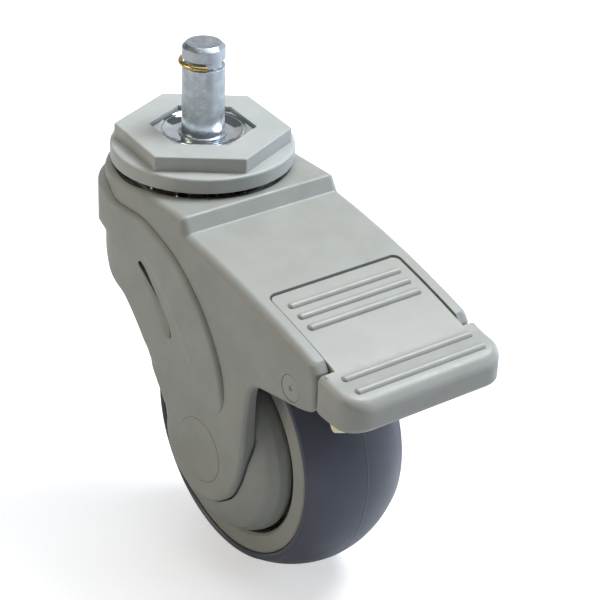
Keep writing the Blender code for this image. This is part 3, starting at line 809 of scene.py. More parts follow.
slot_line = flat(smooth([(7.6, -29.3), (9.7, -30.4), (13.0, -33.3), (16.2, -36.2), (19.0, -38.9),
                         (20.9, -41.2), (21.9, -43.4), (22.2, -45.2)], 4))
print("points on the band:", len(band_line), "ribbon:", len(ribbon_line), "slot:", len(slot_line))

# %% [markdown]
# ## Heights on the skin
#
# The height at a point depends on how far it is from each line. A distance function
# measures that for thousands of points at once. Close to the outline the height falls
# off on a quarter circle, which is the rounded edge of the moulding. Beside the ledge it
# climbs on a quarter ellipse, steep at the foot and soft at the top, so the foot reads
# as a dark crease. Beside the slot line the wall is scooped out, steeply on one side and
# over a few millimetres on the other.


# %% Distances
def nearest(points, line):
    """Each point's distance to a line, where along it that is (0 to 1), and which side."""
    a = np.array(line[:-1])
    ab = np.diff(np.array(line), axis=0)
    length = np.hypot(*ab.T)
    to_point = points[:, None, :] - a[None]
    share = np.clip((to_point * ab).sum(2) / length ** 2, 0, 1)
    gap = to_point - share[..., None] * ab
    distance = np.hypot(gap[..., 0], gap[..., 1])
    best = distance.argmin(1)
    rows = np.arange(len(points))
    start = np.concatenate([[0], np.cumsum(length)])
    along = (start[best] + share[rows, best] * length[best]) / start[-1]
    cross = (ab[best, 0] * to_point[rows, best, 1] - ab[best, 1] * to_point[rows, best, 0])
    return distance[rows, best], along, np.sign(cross)


def inside(points, loop):
    """Whether each point lies inside a closed loop."""
    loop = np.array(loop)
    ahead = np.roll(loop, -1, axis=0)
    x, z = points[:, :1], points[:, 1:]
    crosses = (loop[:, 1] > z) != (ahead[:, 1] > z)
    rise = np.where(ahead[:, 1] == loop[:, 1], 1e-9, ahead[:, 1] - loop[:, 1])
    at = loop[:, 0] + (z - loop[:, 1]) / rise * (ahead[:, 0] - loop[:, 0])
    return (crosses & (x < at)).sum(1) % 2 == 1


def ease(value, low, high):
    """0 below low, 1 above high, and a smooth step between."""
    t = np.clip((value - low) / (high - low), 0, 1)
    return t * t * (3 - 2 * t)


def quarter(distance, width):
    """Rises from 0 to 1 over the width as a quarter ellipse."""
    return np.sqrt(1 - (1 - np.clip(distance / width, 0, 1)) ** 2)


# %% Work out the height of the skin
EDGE_R_TOP = 2.1
EDGE_R_LOWER = 1.2
LEDGE_W = 1.3
CREASE = 0.25                       # a groove along the foot of the ledge
CREASE_W = 0.5
RIBBON_RAISE = 0.22
RIBBON_W = 0.5
SCOOP_DEPTH = 1.3
SCOOP_WALL_W = 0.3                  # the steep side of the scoop
SCOOP_W = (1.2, 3.8)                # its gentle side, at its upper and its lower end
ARM_MERGE = (46.0, 60.0)            # depths over which the cheek comes out to the band
BELT_BACK = (3.0, 14.0)             # distances behind the stem where the belt comes out
BELT_FOOT = (26.2, 28.4)            # depths over which the belt falls back
RIBBON_START = (7.0, 12.0)          # distances over which the ribbon begins
OUTLINE = TOP_LINE + LOWER_LINE[1:]
BAND_REGION = band_line + [(30.0, -62.0), (0.0, -50.0), (SEAM - 2, -40.0), (SEAM - 2, -14.6)]
RIBBON_REGION = band_line[3:] + ribbon_line[::-1]


def skin_height(points):
    """How far each flat point stands out from the path, in millimetres."""
    to_top = nearest(points, TOP_LINE)[0]
    to_lower = nearest(points, LOWER_LINE)[0]
    to_band = nearest(points, band_line)[0]
    to_ribbon = nearest(points, ribbon_line)[0]
    to_slot, slot_at, slot_side = nearest(points, slot_line)

    along, depth = points[:, 0], -points[:, 1]
    arm_full = ease(depth, *ARM_MERGE)
    belt = ease(-along, *BELT_BACK)
    raised = (BAND_RAISE + (BELT_RAISE - BAND_RAISE) * belt) * (1 - belt * ease(depth, *BELT_FOOT))
    cheek = BAND_RAISE * arm_full
    on_band = inside(points, BAND_REGION)
    height = np.where(on_band, cheek + (raised - cheek) * quarter(to_band, LEDGE_W), cheek)
    height -= CREASE * np.clip(1 - to_band / CREASE_W, 0, 1) * (1 - arm_full)
    beyond_ribbon = on_band & ~inside(points, RIBBON_REGION) & (along > RIBBON_START[0])
    height -= np.where(beyond_ribbon, RIBBON_RAISE * quarter(to_ribbon, RIBBON_W)
                       * ease(along, *RIBBON_START) * (1 - arm_full), 0)

    scoop_w = SCOOP_W[0] + (SCOOP_W[1] - SCOOP_W[0]) * ease(slot_at, 0.05, 0.9)
    ends = quarter(slot_at, 0.06) * quarter(1 - slot_at, 0.14)
    scoop = np.clip(1 - to_slot / scoop_w, 0, 1) ** 1.2
    wall = np.clip(1 - to_slot / SCOOP_WALL_W, 0, 1)
    height -= SCOOP_DEPTH * ends * np.where(slot_side < 0, scoop, wall)

    height -= EDGE_R_TOP * (1 - quarter(to_top, EDGE_R_TOP))
    height -= EDGE_R_LOWER * (1 - quarter(to_lower, EDGE_R_LOWER))
    return np.maximum(height, -EDGE_R_TOP)


print("height in mid cheek:", skin_height(np.array([[50.0, -30.0]])).round(2))

# %% [markdown]
# ## From points to skin
#
# Triangles follow the shape best when their corners lie in rows beside each line. So
# points are laid on the lines, in rows at set distances from them, and on a plain grid
# in between. A constrained Delaunay triangulation then joins them into a sheet with the
# outline as its edge.


# %% Scatter the points and join them
def beside(line, distance):
    """The line moved sideways, to its left for a positive distance."""
    return np.array(line) + leftward(line) * distance


def thinned(points, taken, clearance):
    """Keeps the points that are at least the clearance from those already taken."""
    cells = {}
    for p in taken:
        cells.setdefault((int(p[0] // clearance), int(p[1] // clearance)), []).append(p)
    kept = []
    for p in points:
        i, j = int(p[0] // clearance), int(p[1] // clearance)
        near = [q for a in (-1, 0, 1) for b in (-1, 0, 1) for q in cells.get((i + a, j + b), [])]
        if all(math.dist(p, q) >= clearance for q in near):
            cells.setdefault((i, j), []).append(p)
            kept.append(p)
    return kept


def sheet_of(loop, inner_points):
    """Triangles inside a closed loop, through the inner points. Keeps the loop's order."""
    everything = [Vector(p) for p in list(loop) + list(inner_points)]
    edges = [(i, (i + 1) % len(loop)) for i in range(len(loop))]
    points, _, faces, origins, _, _ = delaunay_2d_cdt(everything, edges, [], 1, 1e-6)
    place_of = {source: i for i, sources in enumerate(origins) for source in sources}
    return np.array([tuple(p) for p in points]), faces, [place_of[i] for i in range(len(loop))]


CLOSEST = 0.045                     # between points in the rows beside a line
GRID_PITCH = 1.25
GRID_CLEARANCE = 0.62               # from a point of the grid to one in a row


def staggered_grid(pitch, columns, rows):
    """Points over the whole sheet, in rows that are offset by half a pitch."""
    return np.array([(SEAM + pitch * (i + 0.5 * (j % 2)), -pitch * 0.87 * j)
                     for i in range(columns) for j in range(rows)])


def skin_points(loop):
    """The points of the fork's seam, and the inner points of its skin."""
    seam_line = resampled([loop[-1], loop[0]], EDGE_PITCH)[1:-1]
    taken = loop + seam_line
    rows = []
    for line, distances, spacing in (
            (band_line, (0, 0.06, 0.25, 0.55, 0.95, 1.4, 1.8), 0.6),
            (slot_line, (0.32, 0.16, 0, -0.3, -0.7, -1.2, -1.9, -2.7, -3.6, -4.6), 0.5),
            (ribbon_line, (0, 0.25, 0.5), 0.7)):
        for way in ((1, -1) if line is band_line else (1,)):
            rows += [beside(resampled(line, spacing), way * distance) for distance in distances]
    for distances, line in (((0.06, 0.25, 0.6, 1.05, 1.6, 2.15), TOP_LINE),
                            ((0.05, 0.2, 0.45, 0.8, 1.2, 1.5), LOWER_LINE)):
        for distance in distances:
            for way in (1, -1):
                row = beside(line, way * distance)
                rows.append(row[nearest(row, line)[0] > 0.985 * distance])
    fine = np.concatenate(rows)
    fine = fine[inside(fine, loop) & (nearest(fine, loop + loop[:1])[0] > CLOSEST)]
    fine = thinned(map(tuple, fine), taken, CLOSEST)
    grid = staggered_grid(GRID_PITCH, 110, 100)
    coarse = thinned(map(tuple, grid[inside(grid, loop)]), taken + fine, GRID_CLEARANCE)
    return seam_line, fine + coarse


seam_line, skin_inner = skin_points(OUTLINE)
skin_flat, skin_faces, skin_rim = sheet_of(OUTLINE + seam_line, skin_inner)
print("one side of the skin:", len(skin_flat), "points,", len(skin_faces), "triangles")

# %% [markdown]
# ## Closing the fork
#
# The skin alone is thin air. Inside it goes a plain inner wall, 3.3 mm further in, and a
# roof under the cover. The left and right skins are joined across the top by strips,
# which make the deck and the sloping cover, and the outer and inner edges are joined all
# round by a rim. What comes out is one closed body with a true wall thickness.

# %% Close the body
INNER_SET = -3.3
INNER_PITCH = 2.5
RIM_INSET = 0.5
ROOF_DROP = 3.0
DECK_UNDERSIDE = -16.6


def roof_z(x):
    return min(DECK_UNDERSIDE, cover_z(x) - ROOF_DROP)


def inner_loop():
    """The edge of the inner wall: the lower line moved in a little, and the roof."""
    moved = beside(LOWER_LINE, -RIM_INSET)
    moved[0] = (FRONT_X - RIM_INSET, LIP_Z)
    moved[-1][0] = SEAM
    roof = [(x, roof_z(x)) for x in np.linspace(29.2, FRONT_X - 3, 24)]
    deck = [(u, DECK_UNDERSIDE) for u in np.linspace(SEAM, 28.0, 50)]
    return [tuple(p) for p in moved], deck + roof


inner_rim, roof_line = inner_loop()
inner_ring = roof_line + inner_rim
grid = np.array([(SEAM + INNER_PITCH * i, -INNER_PITCH * j) for i in range(60) for j in range(50)])
inner_seam = resampled([inner_ring[-1], inner_ring[0]], INNER_PITCH)[1:-1]
inner_fill = thinned(map(tuple, grid[inside(grid, inner_ring)]), inner_ring + inner_seam, 1.2)
wall_flat, wall_faces, wall_rim = sheet_of(inner_ring + inner_seam, inner_fill)


def strip(bm, one, other):
    """Joins two rows of corners with four sided faces."""
    for a, b, c, d in zip(one, one[1:], other[1:], other):
        bm.faces.new((a, b, c, d))


def fork_body():
    """Both skins, both inner walls, and the strips that close them into one body."""
    bm = bmesh.new()
    raised = skin_height(skin_flat)
    ends = []
    for side in (-1, 1):
        outer = [bm.verts.new(p) for p in wrapped(skin_flat, raised, side)]
        inner = [bm.verts.new(p) for p in wrapped(wall_flat, INNER_SET, side)]
        for verts, faces in ((outer, skin_faces), (inner, wall_faces)):
            for face in faces:
                bm.faces.new([verts[i] for i in face])
        outer = [outer[i] for i in skin_rim[:len(OUTLINE)]]
        inner = [inner[i] for i in wall_rim[:len(inner_ring)]]
        top, outer_edge = outer[:len(TOP_LINE)], outer[len(TOP_LINE) - 1:]
        roof, inner_edge = inner[:len(roof_line) + 1], inner[len(roof_line):]
        strip(bm, outer_edge, inner_edge)
        ends.append((top, roof, (outer_edge[0], inner_edge[0])))
    for right, left in zip(*ends):
        strip(bm, right, left)
    bmesh.ops.remove_doubles(bm, verts=bm.verts, dist=1e-4)
    print("open edges:", sum(len(edge.link_faces) != 2 for edge in bm.edges))
    return bm


fork = to_mesh("fork", fork_body())

# %% [markdown]
# ## Cutting the fork to fit its parts
#
# What is left is what a drill or a core does: the round pocket for the ball bearing, a
# wider and shallower one that leaves a dark gap under the cover's flange, the open bay
# for the pedal, the bores for the pins, and the flush seats of the axle caps. Each cheek
# also gets a boss inside, where the axle and the thread guard sit, and a slit that leans
# back through the wall and is widest at its upper end.

# %% Cut and drill
BOSS_R = 12.7
BOSS_Y = (17.4, 21.6)
RACE_POCKET = (21.2, -13.6)         # radius and floor
BUSH_POCKET = (7.2, -20.0)
GAP_POCKET = (23.3, -11.2)
BAY_BACK_X = 56.2
BAY_HALF = 20.0
BAY_CORNER_R = 2.1
AXLE_HOLE_R = 4.3
CAP_SEAT_R = CAP_R + 0.04
CAP_SEAT_Y = 19.6
CLEAR = 0.15                        # between a small pin and its bore
SHOE_BORE_Y = 22.2
LOCK_BORE_Y = 17.4
OUTSIDE = 30.0                      # a distance from the middle past all of the caster
SLIT_HALF = 0.95
SLIT_LEAN = 1.0                     # sideways travel for each millimetre of depth
SLIT_FLOOR_Y = 22.4


def pocket(radius, floor, steps):
    """A round tool that enters from above."""
    return turned([(0, floor), (radius, floor), (radius, -8), (0, -8)], steps)


def slit(side):
    """A slit along the slot line, leaning back, that is widest at its upper end."""
    share = np.linspace(0, 1, len(slot_line))
    ends = np.sqrt(np.minimum(1, share / 0.06) * np.minimum(1, (1 - share) / 0.06))
    half = SLIT_HALF * ends * (1 - 0.66 * ease(share, 0.08, 0.6))
    one, other = (beside(slot_line, way * half[:, None]) for way in (1, -1))
    start = CHEEK_Y + BAND_RAISE + 1.0
    deep = start - SLIT_FLOOR_Y
    return pushed(list(one) + list(other[-2:0:-1]),
                  lambda u, z: (u + SLIT_LEAN, side * start, z),
                  (-SLIT_LEAN * deep, -side * deep, 0))


bay_plan = rounded([(BAY_BACK_X, -BAY_HALF, BAY_CORNER_R), (95, -BAY_HALF), (95, BAY_HALF),
                    (BAY_BACK_X, BAY_HALF, BAY_CORNER_R)], 0.01)
combine(fork, "UNION", *sides(lambda side: drill(BOSS_R, *span(side, *BOSS_Y), AXLE, 96)))
combine(fork, "DIFFERENCE",
        pocket(*RACE_POCKET, 96),
        pocket(*BUSH_POCKET, 48),
        upright(bay_plan, -60, 0),
        drill(PEDAL_PIN_R + 0.04, -OUTSIDE, OUTSIDE, PEDAL_PIN),
        drill(SMALL_PIN_R + CLEAR, -SHOE_BORE_Y, SHOE_BORE_Y, SHOE_PIN, 32),
        drill(SMALL_PIN_R + CLEAR, -LOCK_BORE_Y, LOCK_BORE_Y, LOCK_PIN, 32),
        drill(AXLE_HOLE_R, -OUTSIDE, OUTSIDE, AXLE),
        pocket(*GAP_POCKET, 160),
        *sides(slit),
        *sides(lambda side: drill(CAP_SEAT_R, *span(side, CAP_SEAT_Y, OUTSIDE), AXLE, 128)))
screw_low, screw_high = box_mm("detent_screw")
screw_at = ((screw_low.x + screw_high.x) / 2, (screw_low.y + screw_high.y) / 2)
screw_hole = turned([(0, -22), (1.5, -22), (1.5, DECK_UNDERSIDE), (0, DECK_UNDERSIDE)], 24)
bmesh.ops.translate(screw_hole, vec=(*screw_at, 0), verts=screw_hole.verts)
combine(fork, "DIFFERENCE", screw_hole)
finished(fork, "fork", fork_nylon, "fork_housing")

# %% [markdown]
# ## The wheel
#
# The wheel is a nylon centre with a soft tread moulded round it. Both are turned
# shapes. The tread is gently crowned, an arc from side to side, so the chair turns
# easily on the spot. A fine raised line round its middle is where the two halves of the
# mould met.

# %% Turn the wheel
CROWN_R = 25.0
TREAD_HALF = 15.4
TREAD_INNER_R = RIM_R + 0.25
SHOULDER_Y = TREAD_HALF - 0.35
FLASH_RAISE = 0.05
RIM_INNER_R = 26.2
WEB_HALF = 3.0
HUB_R = 14.2
HUB_HALF = 12.9
BEARING_R = 11.0
BEARING_STOP = 5.8                  # the bearings sit against a step this far from the middle


def crown_r(y):
    """The tread's radius at a distance from the middle."""
    return TREAD_R - CROWN_R + math.sqrt(CROWN_R ** 2 - y * y)


def tread_profile():
    """The crown with its raised line, and the rounded shoulders down to the rim."""
    flash = [(crown_r(y) + lift, y) for y, lift in
             ((-0.2, 0.0), (-0.08, FLASH_RAISE), (0.08, FLASH_RAISE), (0.2, 0.0))]
    left_crown = [(crown_r(y), y) for y in np.linspace(0.5, SHOULDER_Y - 1.4, 28)]
    right_crown = [(radius, -y) for radius, y in reversed(left_crown)]
    left = rounded([left_crown[-1], (crown_r(SHOULDER_Y) + 0.1, SHOULDER_Y + 0.1, 1.0),
                    (RIM_R + 0.9, TREAD_HALF, 0.4), (TREAD_INNER_R, TREAD_HALF - 0.55, 0.15),
                    (TREAD_INNER_R, 0)], 0.3, closed=False)[1:-1]
    right = [(radius, -y) for radius, y in reversed(left)]
    return right_crown + flash + left_crown + left + [(TREAD_INNER_R, 0.0)] + right


tread = to_mesh("tread", turned(tread_profile(), 256, AXLE))
finished(tread, "wheel", tread_rubber, "tyre")

rim_half = rounded([
    (RIM_R, 0.0), (RIM_R, RIM_Y - 0.3, 0.25), (RIM_R - 0.6, RIM_Y, 0.25),
    (RIM_INNER_R + 0.9, RIM_Y, 0.5), (RIM_INNER_R, RIM_Y - 0.9, 0.5),
    (RIM_INNER_R - 0.3, WEB_HALF + 0.5, 2.0), (HUB_R, WEB_HALF, 1.5), (HUB_R, HUB_HALF - 0.5, 0.3),
    (HUB_R - 0.4, HUB_HALF, 0.2), (BEARING_R, HUB_HALF, 0.1), (BEARING_R, BEARING_STOP),
    (7.0, BEARING_STOP)], 0.1, closed=False)
rim_profile = rim_half + [(radius, -y) for radius, y in reversed(rim_half[1:])]
wheel_centre = to_mesh("wheel_hub_and_rim", turned(rim_profile, 192, AXLE))
finished(wheel_centre, "wheel", wheel_nylon, "wheel_centre")

# %% [markdown]
# ## Thread guards and axle caps
#
# A domed disc on each side keeps carpet threads and hair out of the bearing. It stays
# still with the fork, so only a thin dark gap shows between it and the turning rim. Its
# dome has a seat cut to the outline of the arm, which lies in it with a hairline gap. The
# axle's ends are hidden by flush caps pressed into the cheeks.

# %% Turn the guards and the caps
SEAT_GAP = 0.38
SEAT_FLOOR_Y = 20.3
SEAT_TOP = -35.0
GUARD_BORE_R = BOSS_R + 0.3
CAP_BACK_Y = 23.0

arm_edge = [p for p in LOWER_LINE if p[1] < -43.0 and p[0] > 0]
arm_seat = list(beside(arm_edge, SEAT_GAP))
arm_seat += [(arm_seat[-1][0], SEAT_TOP), (arm_seat[0][0], SEAT_TOP)]
guard = rounded([
    (GUARD_BORE_R, 18.9), (17.0, 18.8, 6.0), (21.4, 17.8, 3.0), (23.4, 13.7, 0.5),
    (GUARD_R - 0.4, 13.5, 0.3), (GUARD_R, 13.9, 0.2), (GUARD_R, 14.9, 1.0),
    (24.4, 17.2, 2.0), (22.6, 19.8, 5.0), (19.0, 22.0, 20.0), (15.6, 23.1, 20.0),
    (GUARD_BORE_R, 23.4)], 0.2)
cap = rounded([(0, CAP_BACK_Y), (CAP_R, CAP_BACK_Y, 0.3), (CAP_R, CAP_Y - 0.05, 0.25),
               (0, CAP_Y)], 0.2, closed=False)

for side, name in ((-1, "right"), (1, "left")):
    dome = to_mesh(f"domed_thread_guard_{name}",
                   turned([(radius, side * y) for radius, y in guard], 160, AXLE))
    combine(dome, "DIFFERENCE", across(arm_seat, *span(side, SEAT_FLOOR_Y, OUTSIDE)))
    finished(dome, "fork", fork_nylon, f"thread_guard_{name}")
    button = to_mesh(f"flush_axle_cap_{name}",
                     turned([(radius, side * y) for radius, y in cap], 128, AXLE))
    finished(button, "fork", fork_nylon, f"axle_cap_{name}")

# %% [markdown]
# ## The pedal
#
# The pedal rocks on a pin: a plate that lies in the cover's bay, and a broad nose that a
# foot presses down. Both are flat slabs whose top follows a curve and whose edges are
# rounded. A slab is made of rings, each a copy of its plan moved in a little, with the
# last ones joined straight across. The raised ribs that stop a shoe slipping are round
# ended bars, all one shape, so Geometry Nodes set a bar at each place.


# %% A slab with a curved top
def slab(half_plan, top, bottom, top_r, bottom_r, steps=7):
    """A closed slab from half its plan, running from back to front on the +Y side."""
    bm = bmesh.new()
    line = np.array(half_plan)
    inward = -leftward(line)
    inward[0], inward[-1] = (1, 0), (-1, 0)
    rings = []
    for level, radius, way in ((top, top_r, -1), (bottom, bottom_r, 1)):
        for turn in np.radians(np.linspace(90, 0, steps)):
            moved = line + inward * radius * (1 - math.cos(turn))
            moved[:, 1] = np.maximum(moved[:, 1], 0)
            drop = way * radius * (1 - math.sin(turn))
            rings.append([(x, y, level(x) + drop) for x, y in moved])
    order = rings[:steps] + rings[steps:][::-1]
    made = {side: [[bm.verts.new((x, side * y, z)) for x, y, z in ring] for ring in order]
            for side in (-1, 1)}
    for side in (-1, 1):
        for upper, lower in zip(made[side], made[side][1:]):
            strip(bm, upper, lower)
    for level in (0, -1):
        strip(bm, made[-1][level], made[1][level])
    bmesh.ops.remove_doubles(bm, verts=bm.verts, dist=1e-4)
    bmesh.ops.dissolve_degenerate(bm, dist=1e-4, edges=bm.edges)
    return bm


def through(points):
    """A function that reads a smooth curve through (x, z) points."""
    curve = np.array(smooth(points, 10))
    return lambda x: float(np.interp(x, curve[:, 0], curve[:, 1]))


BAY_GAP = 0.35
PLATE_BACK_X = BAY_BACK_X + BAY_GAP
PLATE_FRONT_X = 86.0                # hidden inside the nose
PLATE_HALF = BAY_HALF - BAY_GAP
PLATE_SINK = 0.35
PLATE_THICK = 2.4
PLATE_EDGE_R = 0.3
NOSE_BACK_X = 81.75
NOSE_CORNER_R = 7.5
NOSE_BOTTOM = -37.3
NOSE_EDGE_R = (2.3, 1.6)            # along the top and along the bottom
SLAB_PITCH = 0.9


def plate_top(x):
    """The pedal's plate lies just below the cover and follows its curve."""
    return cover_z(x) - PLATE_SINK


def plate_underside(x):
    return plate_top(x) - PLATE_THICK


plate_half = rounded([(PLATE_BACK_X, 0), (PLATE_BACK_X, PLATE_HALF, 1.9),
                      (PLATE_FRONT_X, PLATE_HALF), (PLATE_FRONT_X, 0)], 0.2, 8, closed=False)
plate_slab = slab(resampled(plate_half, SLAB_PITCH), plate_top, plate_underside,
                  PLATE_EDGE_R, PLATE_EDGE_R, 4)

nose_top = through([(80.0, -25.15), (NOSE_BACK_X, -25.65), (84.0, -26.35), (86.5, -26.95),
                    (89.0, -27.3), (91.5, -27.7), (93.6, -28.3), (PEDAL_FRONT, -29.4)])
nose_bottom = through([(80.0, -36.3), (84.0, -37.1), (88.0, NOSE_BOTTOM), (92.0, NOSE_BOTTOM),
                       (PEDAL_FRONT, -36.6)])
nose_half = rounded([(NOSE_BACK_X, 0), (NOSE_BACK_X, PEDAL_HALF, 1.3),
                     (PEDAL_FRONT, PEDAL_HALF, NOSE_CORNER_R), (PEDAL_FRONT, 0)], 1.0, 14,
                    closed=False)
nose_slab = slab(resampled(nose_half, SLAB_PITCH), nose_top, nose_bottom, *NOSE_EDGE_R, 9)
print("nose is", round(PEDAL_FRONT - NOSE_BACK_X, 1), "mm deep")


# %% Ribs that repeat
def rib_tree():
    """Sets a round-ended bar, lying along Y, at each point of a list of places."""
    tree, inputs = geometry_tree("grip ribs", Half_length="Float", Radius="Float",
                                 First_place="Vector", Step="Vector", Count="Int")
    line = add(tree, "GeometryNodeMeshLine", {"Count": inputs["Count"],
                                              "Start Location": inputs["First place"],
                                              "Offset": inputs["Step"]}, mode="OFFSET")
    ball = add(tree, "GeometryNodeMeshUVSphere", {"Radius": inputs["Radius"]}, Segments=20,
               Rings=12)
    place = add(tree, "GeometryNodeInputPosition").outputs[0]
    z = add(tree, "ShaderNodeSeparateXYZ", {0: place}).outputs["Z"]
    reach = maths(tree, "SUBTRACT", inputs["Half length"], inputs["Radius"])
    shift = maths(tree, "MULTIPLY", maths(tree, "SIGN", z), reach)
    offset = add(tree, "ShaderNodeCombineXYZ", {"Z": shift}).outputs[0]
    bar = add(tree, "GeometryNodeSetPosition", {"Geometry": ball.outputs["Mesh"],
                                                "Offset": offset})
    laid = add(tree, "GeometryNodeTransform", {"Geometry": bar.outputs["Geometry"]},
               Rotation=(math.pi / 2, 0, 0))
    bars = add(tree, "GeometryNodeInstanceOnPoints", {"Points": line.outputs["Mesh"],
                                                      "Instance": laid.outputs["Geometry"]})
    return deliver(tree, bars.outputs["Instances"], inputs)


RIB_R = 1.2
RIB_SINK = 0.35
PLATE_RIB_HALF = 17.3
NOSE_RIB_HALF = 19.8
grip_ribs = rib_tree()


def rib_row(name, surface, xs, half_length):
    """Ribs that stand on a curved top, evenly spaced from the first X to the next."""
    (x_first, z_first), (x_next, z_next) = ((x, surface(x)) for x in xs[:2])
    ribs = grown(name, grip_ribs, {
        "Half length": half_length * MM, "Radius": RIB_R * MM,
        "First place": (x_first * MM, 0, (z_first - RIB_SINK) * MM),
        "Step": ((x_next - x_first) * MM, 0, (z_next - z_first) * MM),
        "Count": len(xs), "Material": pedal_nylon}, Matrix.Identity(4))
    bm = bmesh.new()
    bm.from_mesh(ribs.data)
    bmesh.ops.scale(bm, vec=(1 / MM,) * 3, verts=bm.verts)
    bpy.data.objects.remove(ribs)
    return bm


plate_ribs = rib_row("plate ribs", plate_top, (61.3, 65.3, 69.3), PLATE_RIB_HALF)
nose_ribs = rib_row("nose ribs", nose_top, (86.0, 91.0), NOSE_RIB_HALF)
print("points on the ribs:", len(plate_ribs.verts) + len(nose_ribs.verts))

# %% [markdown]
# ## Joining the pedal
#
# The slabs, the ribs and the parts that work underneath are joined: two lugs that hang
# on the pin, a web that stiffens the nose, and a tail that holds the swivel's lock lever
# down. The nose is cored out from below, as a thick moulding is, so it doesn't sink.

# %% Join the pedal
LUG_R = 6.0
LUG_Y = (9.0, 17.6)
TAIL_HALF = 5.0
CORE_HALF = 20.0

pedal = to_mesh("rocking_pedal", plate_slab)
lug = [(66.8, -24.6), (79.8, -28.0)] + arc(*PEDAL_PIN, LUG_R, 0, -180, 24)
tail = rounded([(57.2, -20.0), (60.2, -20.6), (60.2, -25.0, 1.2), (59.2, -26.0),
                (57.2, -26.0)], 0.3)
web = [(78.0, -26.6), (84.0, -27.6), (84.0, -34.0), (79.4, -34.0), (78.0, -32.0)]
combine(pedal, "UNION", nose_slab, across(tail, -TAIL_HALF, TAIL_HALF),
        across(web, -LUG_Y[1], LUG_Y[1]), *sides(lambda side: across(lug, *span(side, *LUG_Y))),
        plate_ribs, nose_ribs)
core = rounded([(84.2, -45.0), (84.2, -30.6, 1.0), (92.6, -30.6, 1.0), (92.6, -45.0)], 0.1)
combine(pedal, "DIFFERENCE", across(core, -CORE_HALF, CORE_HALF),
        drill(PEDAL_PIN_R + 0.12, -19, 19, PEDAL_PIN))
finished(pedal, "pedal", pedal_nylon, "brake_pedal")

# %% [markdown]
# ## The brake shoe
#
# When the pedal goes down it presses this shoe on the tread. It is a curved block of
# hard acetal that hangs from a pin behind, and only the corner of its tip shows under
# the pedal. Its edges are rounded all round, so it slides over the rubber.

# %% Shape the shoe
SHOE_HALF = 10.0
SHOE_INSIDE_R = 39.9                # from the axle, as the next two are
SHOE_OUTSIDE_R = 44.4
SHOE_TIP_R = 46.2
SHOE_BACK, SHOE_FRONT, SHOE_END = 60, 29.5, 27.6        # degrees up from +X at the axle
SHOE_EDGE_R = 0.6
HANGER_R = 2.8
HANGER_Y = (4.0, 9.0)

inside_arc = arc(*AXLE, SHOE_INSIDE_R, SHOE_FRONT, SHOE_BACK, 16)
outside_arc = arc(*AXLE, SHOE_OUTSIDE_R, SHOE_BACK, 37.5, 12)
tip_arc = arc(*AXLE, SHOE_TIP_R, 35, SHOE_FRONT, 4)
tip_corner = [(*arc(*AXLE, radius, SHOE_END, SHOE_END, 0)[0], 1.4)
              for radius in (SHOE_TIP_R - 0.2, SHOE_INSIDE_R + 0.4)]
shoe_outline = rounded(inside_arc + outside_arc + tip_arc + tip_corner, 0.4)
shoe = to_mesh("brake_shoe_block",
               beveled(across(shoe_outline, -SHOE_HALF, SHOE_HALF), SHOE_EDGE_R, 3, 50))
hanger = [(62.6, -37.0), (58.2, -36.9)] + arc(*SHOE_PIN, HANGER_R, 240, 20, 16)
combine(shoe, "UNION", *sides(lambda side: across(hanger, *span(side, *HANGER_Y))))
combine(shoe, "DIFFERENCE", drill(SMALL_PIN_R + CLEAR, -20, 20, SHOE_PIN, 32))
finished(shoe, "shoe", shoe_acetal, "brake_shoe")

# %% [markdown]
# ## The pedal pin
#
# The pin is a moulded nylon rod. Its ends are flush with the cheeks, with a small dimple
# left by the ejector that pushed it out of its mould.

# %% Turn the pin
PIN_END = CHEEK_Y - 0.02
DIMPLE_R = 0.75

pin_end = rounded([(0, PIN_END - 0.43), (DIMPLE_R - 0.3, PIN_END - 0.38, 0.2),
                   (DIMPLE_R, PIN_END, 0.15), (PEDAL_PIN_R, PIN_END, 0.3), (PEDAL_PIN_R, 0)],
                  0.1, closed=False)[:-1]
pin_profile = [(radius, -y) for radius, y in pin_end] + pin_end[::-1]
finished(to_mesh("moulded_pedal_pin", turned(pin_profile, 96, PEDAL_PIN)), "fork", pedal_nylon,
         "pedal_pin")

# %% [markdown]
# ## The swivel lock's spring
#
# The small spring that lifts the lock lever is wound round the lever's pin. It uses the
# same bent wire tree as the grip ring, with four turns and a rise.

# %% Wind the spring
spring_low, spring_high = box_mm("lock_spring")
COIL_R = 2.7
COIL_WIRE_R = 0.35
COIL_TURNS = 4.0
spring = grown("lock_lever_spring", bent_wire, {
    "Coil radius": COIL_R * MM, "Wire radius": COIL_WIRE_R * MM, "Start angle": 0.0,
    "Turns": COIL_TURNS, "Height": (spring_high.y - spring_low.y - 2 * COIL_WIRE_R) * MM,
    "Points": 160, "Material": spring_steel},
    lying_at(LOCK_PIN[0] * MM, (spring_low.y + COIL_WIRE_R) * MM, LOCK_PIN[1] * MM))
finished(spring, "fork", spring_steel, "lock_spring")

# %% [markdown]
# ## Parts kept from the frame
#
# The balls, washers, bearings, axle and lock parts are simple shapes that the frame
# already holds exactly, and they hardly show. Each keeps its own mesh and only gets its
# real finish.

# %% Give the working parts their finish
FINISH = {
    ball_steel: ["swivel_ball", "wheel_bearing", "upper_race", "lower_race"],
    spring_steel: ["detent_spring", "lock_lever", "lock_crown", "shoe_pin", "lock_pin"],
    plate_zinc: ["axle_bolt", "axle_nut", "axle_spacer", "bearing_spacer", "thrust_washer",
                 "kingpin_nut", "detent_screw"],
    cage_nylon: ["ball_cage", "swivel_bush"],
}
for material, starts in FINISH.items():
    for name, node in sorted(frame["nodes"].items()):
        if name.startswith(tuple(starts)) and not node.hide_render:
            node.data.materials.clear()
            node.data.materials.append(material)
print("parts without a finish:", [name for name, node in frame["nodes"].items()
                                  if not node.hide_render and node.data.materials[0] not in FINISH])

